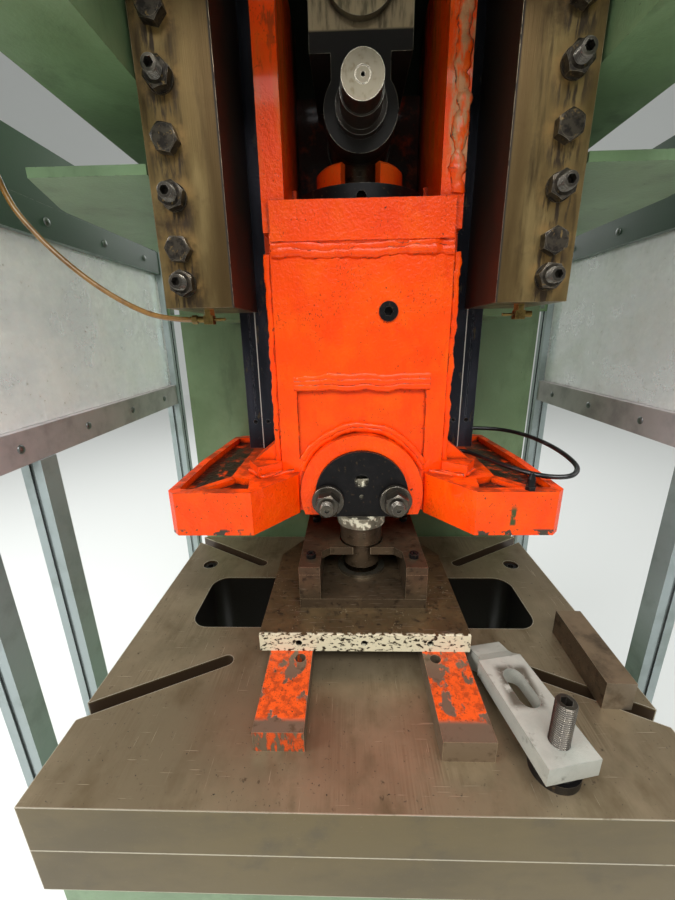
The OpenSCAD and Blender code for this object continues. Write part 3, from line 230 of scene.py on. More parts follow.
@look("brushed_orange_enamel", "#FA4800", "slide_body", "slide_wings", rough=0.36, coat=0.14, coat_rough=0.07,
      shine=0.2)
def orange(f):
    """Glossy enamel laid on thick by brush: lumpy, with runs, chips, dark grease and painted shade in the corners, and
    painted highlights on the cheeks.
    """
    sizes = bpy.context.scene.press_looks
    f.color = tuple(sizes.orange) + (1.0,)
    f.layer(f.spots(60, 0.42, 0.7), "#FC5400")
    f.layer(f.spots(30, 0.5, 0.74, shift=4, tall=2.2), "#F24000")
    f.layer(f.both(f.facing("z"), f.spots(40, 0.38, 0.62, shift=9)), "#9C300C", rough=0.42)
    f.layer(f.spots(4.5, 0.3, 0.7, detail=2), height=sizes.brush_depth)
    f.layer(f.spots(22, 0.35, 0.65, detail=1, tall=2), height=0.5)
    # Thin dirt that oil carried into the brush marks, most of it high on the slide
    specks = f.both(f.spots(2.6, 0.58, 0.66, shift=2, tall=1.6), f.spots(60, 0.46, 0.62, shift=5))
    f.layer(specks, "#A23208", rough=0.45)
    # Painted highlight: a paler, duller band on the slide's cheeks
    highlight_band = f.both(f.along("z", 1545, 1640), f.spots(34, 0.4, 0.66, shift=7, tall=3))
    f.layer(highlight_band, "#E4661E", rough=0.45)
    # Thin dark dirt in tall spots above it
    f.layer(f.both(f.along("z", 1640, 1800), f.spots(9, 0.54, 0.66, shift=3, tall=4)), "#8E3A14")
    # Behind the adjusting screw everything is painted nearly black
    dark_recess = f.both(f.along("z", 1590, 1620), f.along("y", -230, -180), f.along("s", 147, 132))
    f.layer(f.both(dark_recess, f.spots(60, 0.2, 0.5, shift=3)), "#2C1208", rough=0.4)
    # A painted highlight: a pale band of gloss reflection on the right cheek
    highlight_strip = f.both(f.along("x", 118, 124), f.along("z", 1545, 1600), f.facing("y", -1))
    f.layer(f.both(highlight_strip, f.spots(9, 0.4, 0.6, tall=3, shift=5)), "#C78C60", rough=0.3)
    # Painted shade and grease in the inner corners, dark brown and near black
    grease = f.both(f.corners(14), f.spots(12, 0.26, 0.56, shift=2))
    f.layer(grease, "#5A1A06", rough=0.5)
    f.layer(f.corners(5), "#2E0E04", rough=0.5)
    chips = f.both(f.spots(9, 0.68, 0.7, shift=6), f.spots(80, 0.5, 0.6, shift=1))
    f.layer(chips, "#4A3428", rough=0.6, height=-0.5)
    f.layer(f.edges(1.3, sizes.wear, 12), "#46443A", metal=0.4, rough=0.5, height=-0.5)
    # Chips along the lower edge of the wings, and one old drip on the right wing
    low = f.both(f.along("z", 1059, 1055), f.along("s", 176, 182), f.spots(24, 0.53, 0.56, shift=11))
    f.layer(low, "#4A4238", metal=0.3, height=-0.4)
    drip = f.both(f.along("x", 226, 229), f.along("x", 238, 234), f.along("z", 1062, 1066), f.along("z", 1102, 1088))
    f.layer(f.both(drip, f.spots(5, 0.36, 0.5, tall=3)), "#3E4A28", rough=0.4)
    # The pockets on the wings hold black grease
    pocket = f.both(f.facing("z"), f.along("s", 172, 186), f.along("z", 1113, 1108))
    f.layer(f.both(pocket, f.spots(30, 0.3, 0.46, shift=3)), "#1E1410", rough=0.3)
    f.layer(f.both(pocket, f.spots(16, 0.58, 0.66, shift=8)), "#8C3210", rough=0.4)


@look("machine_green_enamel", "#647D57", "frame_bed", "frame_column", "frame_crown", "crown_cover", "side_covers",
      "motor_shelf", "guard_brackets", rough=0.38)
def green(f):
    """Machine enamel in a soft green, with oil that ran down, painted shade and dust in its corners, and painted shade
    and oil between the crown's cheeks.
    """
    sizes = bpy.context.scene.press_looks
    f.color = tuple(sizes.green) + (1.0,)
    f.layer(f.spots(160, 0.4, 0.65), "#728C66")
    f.layer(f.spots(50, 0.5, 0.75, tall=3, shift=3), "#566C4A")
    f.layer(f.both(f.spots(40, 0.6, 0.8, tall=5, shift=7), f.spots(200, 0.45, 0.65)), "#56633F", rough=0.32)
    # Painted shade and dust in the inner corners
    f.layer(f.corners(30), "#2F3B26", rough=0.5)
    drips = f.both(f.along("z", 1655, 1720), f.along("z", 1960, 1760),
                   f.spots(8, 0.6, 0.72, tall=14, shift=9))
    f.layer(drips, "#2C2A18", rough=0.3)
    # Painted shade and oil make it nearly black between the cheeks of the crown, where the rod works
    dark_recess = f.both(f.along("z", 1450, 1580), f.along("z", 2390, 2350), f.along("s", 288, 281))
    f.layer(f.both(dark_recess, f.along("y", -340, -240), f.along("y", 20, -60)), "#1B2016", rough=0.4)
    f.layer(f.spots(5, 0.3, 0.7, detail=2), height=0.12)
    f.layer(f.both(f.spots(9, 0.69, 0.72, shift=5), f.spots(90, 0.48, 0.6, shift=8)), "#3A3A30", rough=0.6, height=-0.2)
    f.layer(f.edges(1.5, sizes.wear * 0.8), "#474A3C", metal=0.4, rough=0.5, height=-0.2)


@look("oiled_ground_steel", "#705C39", "gib_left", "gib_right", metal=0.75, rough=0.36)
def oiled(f):
    """Ground steel under brown oil: streaks that ran down and rusty rings round the bolts."""
    f.layer(f.spots(40, 0.4, 0.7, tall=4), "#927D52")
    f.layer(f.spots(22, 0.5, 0.7, tall=8, shift=2), "#453722")
    f.layer(f.spots(60, 0.52, 0.72, shift=5), "#4A3A26", rough=0.5)
    rings = f.around(GIB_SCREWS, 17, 34)
    f.layer(f.both(rings, f.spots(16, 0.36, 0.66, shift=1)), "#8A6C3C", metal=0.4, rough=0.5)
    tears = f.both(f.around([(x, z - 22) for x, z in GIB_SCREWS], 12, 30),
                   f.spots(7, 0.45, 0.6, tall=6, shift=4))
    f.layer(tears, "#3A2C1B", metal=0.4, rough=0.4)
    # Oil and painted shade darken the inner part of each gib, towards the slide
    f.layer(f.both(f.along("s", 216, 190), f.spots(60, 0.2, 0.6, tall=6, shift=4)), "#584528")
    # Painted shade: the faces towards the slide are darkest
    f.layer(f.along("s", 184, 181.5), "#241B12", metal=0.3, rough=0.52)
    f.layer(f.spots(1.2, 0.3, 0.7, tall=40, detail=2), height=0.05)
    f.layer(f.edges(1.2, 0.8), "#B0A184", metal=0.9, rough=0.3)


@look("worn_table_steel", "#7C6E57", "bolster", "bed_plate", metal=0.6, rough=0.36)
def table(f):
    """Ground plate of the table: brown stains, fine grain, some scratches, painted shade in its corners and openings,
    and a bright worn edge with a painted highlight.
    """
    f.layer(f.spots(150, 0.4, 0.66), "#8E7F66")
    f.layer(f.spots(60, 0.48, 0.74, shift=3, stretch=(1, 1.6, 1)), "#66573F", rough=0.46)
    grain = f.spots(2.2, 0.35, 0.75, shift=1, stretch=(1, 60, 1), detail=2)
    f.layer(f.both(grain, f.spots(90, 0.42, 0.62, shift=5)), "#75664F")
    f.layer(f.spots(9, 0.64, 0.76, shift=8, stretch=(1, 1.5, 1)), "#493A29", metal=0.4, rough=0.5)
    f.layer(f.spots(3.4, 0.7, 0.73, shift=12, detail=2), "#2B2219", metal=0.3, height=-0.3)
    scratches = (1.4, (44, 1, 1), 0.35), (1.2, (1, 60, 1), 0.06), (1.3, (36, 1, 1), -0.8)
    for i, (size, stretch, turn) in enumerate(scratches):
        mark = f.spots(size, 0.72, 0.76, stretch=stretch, shift=3.1 * i, detail=1, turn=(0, 0, turn))
        f.layer(f.both(mark, f.spots(70, 0.48, 0.6, shift=2.0 * i)), "#B5A891", metal=0.8, rough=0.34)
    # Olive oil film on the front faces
    front = f.facing("y", -1)
    f.layer(front, "#61512D", metal=0.5, rough=0.4)
    f.layer(f.both(front, f.spots(120, 0.42, 0.66, stretch=(2, 1, 1), shift=2)), "#584B30", rough=0.46)
    f.layer(f.both(front, f.spots(70, 0.52, 0.74, shift=6)), "#564A31", rough=0.46)
    # Painted shade and grime in the inner corners
    f.layer(f.corners(14), "#241D15", metal=0.3, rough=0.5)
    # Worn edges, with a painted highlight laid along them
    f.layer(f.edges(2.2, 1.1, 26), "#DDD3C0", metal=0.7, rough=0.36)
    # Painted shade in the openings: nearly black inside the windows, dark brown in the slots
    inside = f.both(f.along("z", 849, 846), f.along("s", 399.6, 398), f.along("y", -749.6, -748),
                    f.along("y", -146.4, -148))
    f.layer(inside, "#3A2C1E", metal=0.3, rough=0.45)
    f.layer(f.both(inside, f.along("y", -478, -474), f.along("y", -312, -316)), "#17140F", rough=0.4)


@look("oiled_tool_steel", "#4C3F30", "punch", "die_block", "stripper_rails", "stripper_plate", "adjusting_screw",
      "spacer_bar", metal=0.55, rough=0.34)
def tool(f):
    """Dark tool steel with a film of oil."""
    f.layer(f.spots(35, 0.42, 0.7), "#5E4E3B")
    f.layer(f.spots(16, 0.52, 0.7, shift=3), "#302519", rough=0.42)
    f.layer(f.spots(1.6, 0.66, 0.74, stretch=(18, 1, 1), shift=5, detail=1), "#7C7264", metal=0.8)
    # The spacer bar lies apart from the die and is worn brighter
    bar = f.both(f.along("x", 290, 300), f.spots(40, 0.3, 0.6, shift=6))
    f.layer(f.both(bar, f.facing("z")), "#7A6751")
    f.layer(f.both(bar, f.facing("y", -1)), "#8D8272", metal=0.7)
    # Painted shade and dirt in the inner corners, nearly black
    f.layer(f.corners(12), "#17120D", rough=0.5)
    f.layer(f.edges(1.0, 1.0), "#A0917A", metal=0.8, rough=0.3)


@look("tool_steel_with_cream_edge", "#54452F", "die_base", metal=0.5, rough=0.38)
def base(f):
    """Dark tool steel whose front edge carries chipped cream paint."""
    f.layer(f.spots(40, 0.42, 0.7), "#655338")
    f.layer(f.spots(16, 0.52, 0.7, shift=3), "#33291D", rough=0.42)
    f.layer(f.both(f.spots(2.2, 0.64, 0.68, shift=7), f.spots(26, 0.5, 0.6, shift=4)), "#C9BC9C", metal=0.0, rough=0.6)
    f.layer(f.spots(1.6, 0.66, 0.74, stretch=(18, 1, 1), shift=5, detail=1), "#7C7264", metal=0.8)
    # Painted shade and dirt in the inner corners, nearly black
    f.layer(f.corners(12), "#120F0D", rough=0.5)
    f.layer(f.edges(0.8, 0.8), "#8A8072", metal=0.9, rough=0.3)
    front = f.both(f.facing("y", -1), f.along("y", -553, -555.5))
    f.layer(front, "#3A3226")
    f.layer(f.both(front, f.spots(5, 0.59, 0.54, stretch=(1.5, 1, 1), shift=2, detail=12)), "#D6CDAF", metal=0.0,
            rough=0.5, height=0.3)
    lip = f.both(f.facing("z"), f.along("y", -549, -554), f.spots(8, 0.46, 0.52, shift=6))
    f.layer(lip, "#D2CBB0", metal=0.0, rough=0.5)


@look("black_oxide_steel", "#0C0B0C", "bolster_bolts", "rail_screws", "shank_cap", "body_plug", "ring_nut",
      "die_screws", "clamp_foot", "air_fittings", "blow_nozzle", metal=0.1, rough=0.38, shine=0.22)
def black(f):
    """Blackened steel that oil keeps shiny."""
    f.layer(f.spots(18, 0.45, 0.7), "#151314", rough=0.44)
    f.layer(f.spots(6, 0.6, 0.72, shift=3), "#4A3C2C", metal=0.4, rough=0.5)
    # Painted shade and dirt in the inner corners
    f.layer(f.corners(8), "#0E0D0D", rough=0.5)
    f.layer(f.edges(0.7, 0.8, 4), "#7A746C", metal=0.9, rough=0.3)


@look("oily_bolt_steel", "#453E34", "gib_bolts", "gib_set_screws", "cap_nuts", "rod_cap_bolts", metal=0.65, rough=0.38)
def bolt(f):
    """Screws with brown oil, painted shade and dirt in their corners, and bright worn edges."""
    f.layer(f.spots(9, 0.42, 0.62), "#231E19", rough=0.46)
    f.layer(f.spots(6, 0.58, 0.7, shift=3), "#7A6238", metal=0.4, rough=0.5)
    # Painted shade and dirt in the corners
    f.layer(f.corners(7), "#171310", rough=0.55)
    f.layer(f.edges(0.6, 0.8, 4), "#A49A88", metal=0.95, rough=0.28)


@look("turned_bright_steel", "#97907F", "cap_studs", "die_ring", "clamp_screw", "crankshaft", "flywheel_bearing",
      "motor_rotor", metal=0.95, rough=0.3)
def bright(f):
    """Turned steel, bright, with fine rings and a few brown stains."""
    f.layer(f.spots(20, 0.5, 0.72), "#776C56", rough=0.38)
    f.layer(f.spots(8, 0.6, 0.72, shift=3), "#5E4E36", metal=0.6, rough=0.5)
    # Painted shade and dirt in the inner corners
    f.layer(f.corners(6), "#2E281F", metal=0.5, rough=0.5)
    f.layer(f.spots(0.9, 0.3, 0.7, stretch=(1, 12, 1), detail=1), height=0.03)
    f.layer(f.edges(0.6, 0.8, 4), "#D2CCC0", rough=0.22)


@look("oily_pin_steel", "#736C5C", "wrist_pin", metal=0.9, rough=0.34)
def pin(f):
    """Wrist pin: a turned face on the end, black oil on the barrel behind it."""
    f.layer(f.spots(9, 0.5, 0.72), "#665D4A", rough=0.4)
    f.layer(f.spots(0.9, 0.3, 0.7, stretch=(12, 1, 1), detail=1), height=0.03)
    f.layer(f.along("y", -421, -418), "#2A231B", metal=0.5, rough=0.34)
    f.layer(f.edges(0.9, 1.0, 6), "#D8D2C4", rough=0.24)


@look("threaded_steel", "#504B44", metal=0.9, rough=0.34)
def thread(f):
    """Screw threads: grey steel with painted shade, nearly black, down in the grooves."""
    f.layer(f.spots(14, 0.45, 0.7), "#5F584C", rough=0.4)
    # Twice over, so that the painted shade in the grooves comes out black
    for _ in range(2):
        f.layer(f.corners(2.5), "#16130F", metal=0.3, rough=0.5)
    f.layer(f.edges(0.4, 0.9, 4), "#C6C0B4", rough=0.24)


@look("blued_guide_steel", "#23252C", "guide_rails", metal=0.7, rough=0.26)
def guide(f):
    """Hardened, blued guide steel with an oil film and a scribed line."""
    f.layer(f.spots(30, 0.45, 0.7, tall=5), "#3A3B44")
    f.layer(f.spots(12, 0.6, 0.72, shift=4, tall=3), "#50452F", rough=0.4)
    line = f.both(f.along("s", 184.4, 184.9), f.along("s", 186.6, 186.1), f.facing("y", -1))
    f.layer(f.both(line, f.spots(30, 0.36, 0.4, tall=3)), "#BDBBB2", metal=0.6, rough=0.5)
    f.layer(f.spots(0.8, 0.3, 0.7, tall=60, detail=1), height=0.03)
    f.layer(f.edges(0.8, 0.8), "#8B8C90", metal=0.9, rough=0.28)


@look("blasted_cast_steel", "#B4B4AA", "clamp_strap", metal=0.35, rough=0.46)
def grey(f):
    """Grey cast clamp, blasted and greasy in places."""
    f.layer(f.spots(40, 0.42, 0.74), "#A5A59B", rough=0.42)
    f.layer(f.spots(12, 0.58, 0.76, shift=3), "#7E7D74")
    # Oily ring round the slot, where the clamp's stud stood
    slot = f.both(f.along("x", 178, 190), f.along("x", 232, 222), f.along("y", -664, -652), f.along("y", -588, -600))
    f.layer(f.both(slot, f.facing("z"), f.spots(16, 0.3, 0.5, shift=5)), "#5A554A")
    # Painted shade and dirt in the inner corners
    f.layer(f.corners(14), "#4A473F")
    f.layer(f.spots(1.2, 0.35, 0.7, detail=2), height=0.12)
    f.layer(f.edges(1.0, 0.9), "#B9BCB6", metal=0.8, rough=0.36)


@look("chipped_cream_on_steel", "#8D8675", "punch_holder", metal=0.85, rough=0.36)
def cream(f):
    """Bright machined steel with cream paint that has mostly chipped off."""
    f.layer(f.spots(14, 0.5, 0.58), "#DDD6BD", metal=0.0, rough=0.5, height=0.2)
    f.layer(f.spots(7, 0.58, 0.7, shift=3), "#4A3E2C", metal=0.4, rough=0.5)
    # Painted shade and dirt in the inner corners
    f.layer(f.corners(10), "#2A231B", metal=0.3, rough=0.5)
    f.layer(f.edges(0.8, 0.8, 5), "#C9C3B4", metal=0.95, rough=0.28)


@look("oiled_rod_steel", "#5A5240", "connecting_rod", metal=0.6, rough=0.4)
def rod(f):
    """Connecting rod: machined steel under yellow-brown oil."""
    f.layer(f.spots(50, 0.42, 0.68), "#7C735C")
    f.layer(f.spots(20, 0.52, 0.7, shift=3), "#332B20", rough=0.5)
    face = f.both(f.facing("y", -1), f.along("z", 1766, 1770))
    f.layer(f.along("z", 1772, 1766), "#16120D", metal=0.2, rough=0.5)
    f.layer(face, "#BBA785", metal=0.8, rough=0.42)
    f.layer(f.both(face, f.spots(10, 0.45, 0.65, tall=6, shift=7)), "#7B7058")
    # Painted shade and dirt in the inner corners
    f.layer(f.corners(24), "#1A1611", rough=0.5)
    f.layer(f.edges(1.2, 0.8), "#A79F8B", metal=0.9, rough=0.32)


@look("flaking_orange_on_steel", "#7A6A58", "parallels", metal=0.6, rough=0.42)
def flaking(f):
    """Steel bars whose orange paint has flaked off to brown steel."""
    f.layer(f.spots(14, 0.52, 0.7, shift=5), "#5C4C3A", metal=0.5)
    skin = f.spots(30, 0.55, 0.52, stretch=(1, 1.8, 1), shift=3, detail=11)
    top = f.both(f.facing("z"), f.along("y", -672, -664))
    runs = f.both(f.facing("y", -1), f.along("x", 0, -2), f.spots(9, 0.5, 0.54, tall=4, shift=2))
    bare = f.math("MAXIMUM", f.both(skin, top), runs)
    f.layer(bare, "#D24C12", metal=0.0, rough=0.44, height=0.35)
    f.layer(f.both(bare, f.spots(9, 0.44, 0.62, shift=1, detail=8)), "#9C3A12")
    f.layer(f.both(bare, f.spots(2.4, 0.6, 0.64, shift=6)), "#4A3826", metal=0.4)
    # Worn edges, with a painted highlight laid along them
    f.layer(f.edges(1.2, 1.0), "#B2A691", metal=0.9, rough=0.32)
    # Painted shade and dirt in the inner corners
    f.layer(f.corners(10), "#1F1915", rough=0.5)


def plain(f, second, size, wear, bump):
    """One colour with patches of a second, painted shade and dirt in the corners, and worn edges."""
    rough = f.rough
    f.layer(f.spots(size, 0.42, 0.7), second, rough=min(1.0, rough + 0.08))
    # Painted shade and dirt in the inner corners
    f.layer(f.corners(12), "#24221E", rough=0.6)
    f.layer(f.spots(max(1.0, size * 0.06), 0.3, 0.7, detail=2), height=bump)
    f.layer(f.edges(0.8, 0.7), wear, rough=max(0.2, rough - 0.08))


@look("grey_coated_aluminium", "#B8AFAF", "guard_rails", metal=0.15, rough=0.45)
def rail(f):
    """Grey coat on the guard rails, dark green coat on the head rails and boards."""
    f.layer(f.spots(70, 0.42, 0.7), "#9A9292", rough=0.53)
    f.layer(f.along("z", HEAD_RAIL_Z - 2, HEAD_RAIL_Z - 1), "#3A5244", metal=0.0, rough=0.4)
    # Painted shade and dirt in the inner corners
    f.layer(f.corners(12), "#24221E", rough=0.6)
    f.layer(f.spots(4, 0.3, 0.7, detail=2), height=0.05)
    f.layer(f.edges(0.8, 0.7), "#A9AAA4", rough=0.37)


@look("scuffed_clear_plastic", "#FAFAF6", "guard_panes", rough=0.16)
def pane(f):
    """Clear plastic pane, hazy with dust, splashes and old wipe marks."""
    haze = f.spots(120, 0.35, 0.7)
    drops = f.spots(7, 0.66, 0.7, shift=4, detail=3)
    f.layer(drops, "#8A8676", rough=0.5)
    f.layer(haze, rough=0.34)
    cloud = f.math("MULTIPLY_ADD", haze, 0.3, 0.25)
    f.alpha = f.math("ADD", cloud, f.math("MULTIPLY", drops, 0.4), clamp=True)


@look("aged_nylon_tube", "#916A34", "lube_tube", rough=0.22, coat=0.3)
def nylon(f):
    """Old nylon tube, brown with the oil inside."""
    f.layer(f.spots(30, 0.42, 0.66), "#765020")
    f.layer(f.spots(12, 0.55, 0.7, shift=3), "#5E3E18", rough=0.4)


@look("black_polyurethane_hose", "#141415", "air_hose", rough=0.3, coat=0.2)
def hose(f):
    """Smooth black polyurethane hose."""
    f.layer(f.spots(20, 0.5, 0.7), "#2A2A2A", rough=0.45)


# Look, name, its two colours, size of the patches, metal, roughness, colour of worn edges, height of the lumps, nodes
for key, name, first, second, size, metal, rough, wear, bump, *nodes in (
    ("bronze", "cast_bronze", "#9A7338", "#7D5A2A", 20, 0.9, 0.38, "#C29A58", 0.05, "crank_bushes"),
    ("brass", "oily_brass", "#8B7440", "#5E4C26", 9, 0.85, 0.36, "#C2A768", 0.05, "lube_fittings"),
    ("belt", "dusty_neoprene_belt", "#1B1B1A", "#3A3833", 30, 0.0, 0.75, "#45433E", 0.05, "drive_belts"),
    ("post", "pale_coated_aluminium", "#9CA7A7", "#88938F", 90, 0.25, 0.42, "#C9D2D4", 0.05, "guard_posts"),
    ("yellow", "yellow_guard_enamel", "#C99A14", "#A97E10", 80, 0.0, 0.42, "#6B6455", 0.05, "belt_guard"),
    ("motor", "blue_grey_motor_enamel", "#5A6C71", "#4A5A5E", 60, 0.0, 0.45, "#7B8688", 0.05, "motor"),
    ("iron", "dusty_cast_iron", "#4A4D49", "#3A3C38", 30, 0.4, 0.55, "#85877F", 0.2, "flywheel", "clutch_brake",
     "motor_pulley"),
    ("zinc", "zinc_plated_steel", "#7C7F7E", "#62645F", 12, 0.85, 0.36, "#B3B6B4", 0.05, "levelling_feet",
     "guard_screws"),
):
    coat = partial(plain, second=second, size=size, wear=wear, bump=bump)
    LOOKS[key] = coat, name, first, nodes, {"metal": metal, "rough": rough}


# Corners nearer than one part in this many of a metre are one corner
GRID = 20000


def islands(node):
    """Lowest and highest corners of each solid of a CAD node, in metres."""
    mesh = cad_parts[node].data
    home = list(range(len(mesh.vertices)))

    def root(i):
        while home[i] != i:
            home[i] = home[home[i]]
            i = home[i]
        return i

    seen = {}
    for v in mesh.vertices:
        key = tuple(round(c * GRID) for c in v.co)
        if key in seen:
            home[root(v.index)] = root(seen[key])
        else:
            seen[key] = v.index
    for p in mesh.polygons:
        first = root(p.vertices[0])
        for i in p.vertices[1:]:
            home[root(i)] = first
    boxes = {}
    for v in mesh.vertices:
        low, high = boxes.setdefault(root(v.index), (v.co.copy(), v.co.copy()))
        for k in range(3):
            low[k] = min(low[k], v.co[k])
            high[k] = max(high[k], v.co[k])
    return sorted(boxes.values(), key=lambda b: tuple(round(c, 4) for c in b[0]))


def centre(low, high):
    """Middle between two corners in metres, in millimetres."""
    return [(a + b) / 2 / MM for a, b in zip(low, high)]


def new_object(name, data, material=None):
    """An object in the scene around a mesh, a curve, a lamp or a camera."""
    piece = bpy.data.objects.new(name, data)
    bpy.context.scene.collection.objects.link(piece)
    if material is not None:
        piece.data.materials.append(material)
    return piece


def settle(piece, body, slot, *replaced):
    """Lets a piece ride on a body, in place of the CAD nodes that it replaces; its slot is not used."""
    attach(piece, body)
    if replaced:
        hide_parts(*replaced)


def bake(host, name, tree, settings, body, slot, *replaced):
    """Runs a Geometry Nodes tree on a host object and keeps its result as a plain mesh on a body."""
    modifier = host.modifiers.new("work", "NODES")
    modifier.node_group = tree
    for item in tree.interface.items_tree:
        if item.item_type == "SOCKET" and item.in_out == "INPUT" and item.name in settings:
            modifier[item.identifier] = settings[item.name]
    graph = bpy.context.evaluated_depsgraph_get()
    mesh = bpy.data.meshes.new_from_object(host.evaluated_get(graph))
    mesh.name = name
    piece = new_object(name, mesh)
    host.modifiers.clear()
    bpy.data.objects.remove(host)
    settle(piece, body, slot, *replaced)


def group(name, sockets):
    """An empty Geometry Nodes tree with its named inputs, and the outputs of its input node."""
    tree = bpy.data.node_groups.new(name, "GeometryNodeTree")
    tree.interface.new_socket("Geometry", in_out="OUTPUT", socket_type="NodeSocketGeometry")
    tree.interface.new_socket("Geometry", in_out="INPUT", socket_type="NodeSocketGeometry")
    for label, kind, value in sockets:
        socket = tree.interface.new_socket(label, in_out="INPUT", socket_type="NodeSocket" + kind)
        if value is not None:
            socket.default_value = value
    return tree, tree.nodes.new("NodeGroupInput").outputs


def close(tree, geometry, material):
    """Ends a tree: real instances and the material."""
    real = add(tree, "GeometryNodeRealizeInstances", Geometry=geometry).outputs[0]
    painted = add(tree, "GeometryNodeSetMaterial", Geometry=real, Material=material).outputs[0]
    end = tree.nodes.new("NodeGroupOutput")
    tree.links.new(painted, end.inputs[0])
    return tree


def weld_tree():
    """A weld bead along the edges of a mesh: an uneven round cord with ripples."""
    tree, given = group("weld_bead", [("Width", "Float", 0.012), ("Ripple", "Float", 0.3), ("Step", "Float", 0.003),
                                      ("Flat", "Float", 1.0), ("Seed", "Float", 0.0), ("Finish", "Material", None)])
    line = add(tree, "GeometryNodeMeshToCurve", Mesh=given["Geometry"]).outputs[0]
    line = add(tree, "GeometryNodeResampleCurve", {"mode": "LENGTH"}, Curve=line, Length=given["Step"]).outputs[0]
    place = add(tree, "GeometryNodeInputPosition").outputs[0]
    lumps, wander = (add(tree, "ShaderNodeTexNoise", {"noise_dimensions": "4D"}, Vector=place, W=given["Seed"],
                         Scale=scale, Detail=detail).outputs for scale, detail in ((62.0, 2.0), (26.0, 1.0)))
    centred = add(tree, "ShaderNodeVectorMath", {"operation": "SUBTRACT"}, _0=wander["Color"],
                  _1=(0.5, 0.5, 0.5)).outputs[0]
    swing = reckon(tree, "MULTIPLY", given["Width"], 0.9)
    offset = add(tree, "ShaderNodeVectorMath", {"operation": "SCALE"}, _0=centred, Scale=swing).outputs[0]
    line = add(tree, "GeometryNodeSetPosition", Geometry=line, Offset=offset).outputs[0]
    share = reckon(tree, "MULTIPLY_ADD", reckon(tree, "SUBTRACT", lumps[0], 0.5), given["Ripple"], 0.5)
    size = reckon(tree, "MULTIPLY", share, given["Width"])
    ring = add(tree, "GeometryNodeCurvePrimitiveCircle", {"mode": "RADIUS"}, Resolution=10, Radius=1.0).outputs[0]
    body = add(tree, "GeometryNodeCurveToMesh", Curve=line, Profile_Curve=ring, Scale=size, Fill_Caps=True)
    squeeze = add(tree, "ShaderNodeCombineXYZ", _0=1.0, _1=given["Flat"], _2=1.0).outputs[0]
    flat = add(tree, "GeometryNodeTransform", Geometry=body.outputs[0], Scale=squeeze).outputs[0]
    smooth = add(tree, "GeometryNodeSetShadeSmooth", Geometry=flat).outputs[0]
    return close(tree, smooth, given["Finish"])


def head_tree():
    """A copy of a screw head on each point, along a direction, each turned its own way about its axis."""
    tree, given = group("screw_heads", [("Head", "Object", None), ("Direction", "Vector", (math.pi / 2, 0.0, 0.0)),
                                        ("Seed", "Int", 1), ("Finish", "Material", None)])
    head = add(tree, "GeometryNodeObjectInfo", Object=given["Head"]).outputs["Geometry"]
    spin = add(tree, "FunctionNodeRandomValue", {"data_type": "FLOAT"}, Seed=given["Seed"])
    own = add(tree, "ShaderNodeCombineXYZ", _2=spin.outputs["Value"]).outputs[0]
    spread = add(tree, "GeometryNodeInstanceOnPoints", Points=given["Geometry"], Instance=head,
                 Rotation=given["Direction"]).outputs[0]
    spun = add(tree, "GeometryNodeRotateInstances", Instances=spread, Rotation=own, Local_Space=True).outputs[0]
    return close(tree, spun, given["Finish"])


def dome_tree():
    """Round screw heads, one on each point: flattened balls that sit half in the rail."""
    tree, given = group("round_head", [("Radius", "Float", 0.008), ("Rise", "Float", 0.5),
                                       ("Finish", "Material", None)])
    ball = add(tree, "GeometryNodeMeshUVSphere", Segments=20, Rings=12, Radius=given["Radius"]).outputs[0]
    flat = add(tree, "ShaderNodeCombineXYZ", _0=given["Rise"], _1=1.0, _2=1.0).outputs[0]
    cap = add(tree, "GeometryNodeTransform", Geometry=ball, Scale=flat).outputs[0]
    smooth = add(tree, "GeometryNodeSetShadeSmooth", Geometry=cap).outputs[0]
    spread = add(tree, "GeometryNodeInstanceOnPoints", Points=given["Geometry"], Instance=smooth).outputs[0]
    return close(tree, spread, given["Finish"])


def dots(name, points):
    """A host object that is only points, in metres."""
    mesh = bpy.data.meshes.new(name)
    mesh.from_pydata([tuple(p) for p in points], [], [])
    return new_object(name, mesh)


def screw(foot, axis, length, radius, pitch, depth, hole, hole_depth, hole_sides=6, plain=0.0):
    """Vertices and faces of a screw from foot along axis: thread, chamfered end and a hole in it; in millimetres."""
    sides, per = 30, 6
    chamfer = 1.6
    step = pitch / per
    heights = [0.0, plain] if plain else [0.0]
    heights += [plain + step * i for i in range(1, int((length - plain) / step) + 1)]
    turn = Vector(axis).to_track_quat("Z", "Y").to_matrix()
    points = []

    def ring(height, size):
        for i in range(sides):
            a = 2 * math.pi * i / sides
            points.append(turn @ Vector((size(i) * math.cos(a), size(i) * math.sin(a), height)) + Vector(foot))

    def flank(height, i):
        cut = depth * abs(2 * ((height / pitch - i / sides) % 1.0) - 1) if height >= plain else 0.0
        return min(radius - cut, radius - chamfer + max(0.0, length - height))

    def mouth(i):
        if hole_sides != 6:
            return hole
        a = math.degrees(2 * math.pi * i / sides) % 60 - 30
        return hole * math.cos(math.radians(30)) / math.cos(math.radians(a))

    for height in heights:
        ring(height, lambda i: flank(height, i))
    ring(length, mouth)
    ring(length - hole_depth, mouth)
    return points, walls(sides, len(points) // sides)


def hexagon(flats, height, start=0.0):
    """Vertices and faces of a hexagon head that stands on the origin along Z, with its turned chamfer."""
    sides = 48
    inner = flats / 2 * 0.92
    slope = math.tan(math.radians(30))
    angles = [2 * math.pi * i / sides for i in range(sides)]
    reach = [flats / 2 / math.cos(math.radians(360 * i / sides % 60 - 30)) for i in range(sides)]
    points = [(r * math.cos(a), r * math.sin(a), start) for r, a in zip(reach, angles)]
    points += [(r * math.cos(a), r * math.sin(a), start + height - (r - inner) * slope) for r, a in zip(reach, angles)]
    points += [(inner * math.cos(a), inner * math.sin(a), start + height) for a in angles]
    return points, walls(sides, 3)


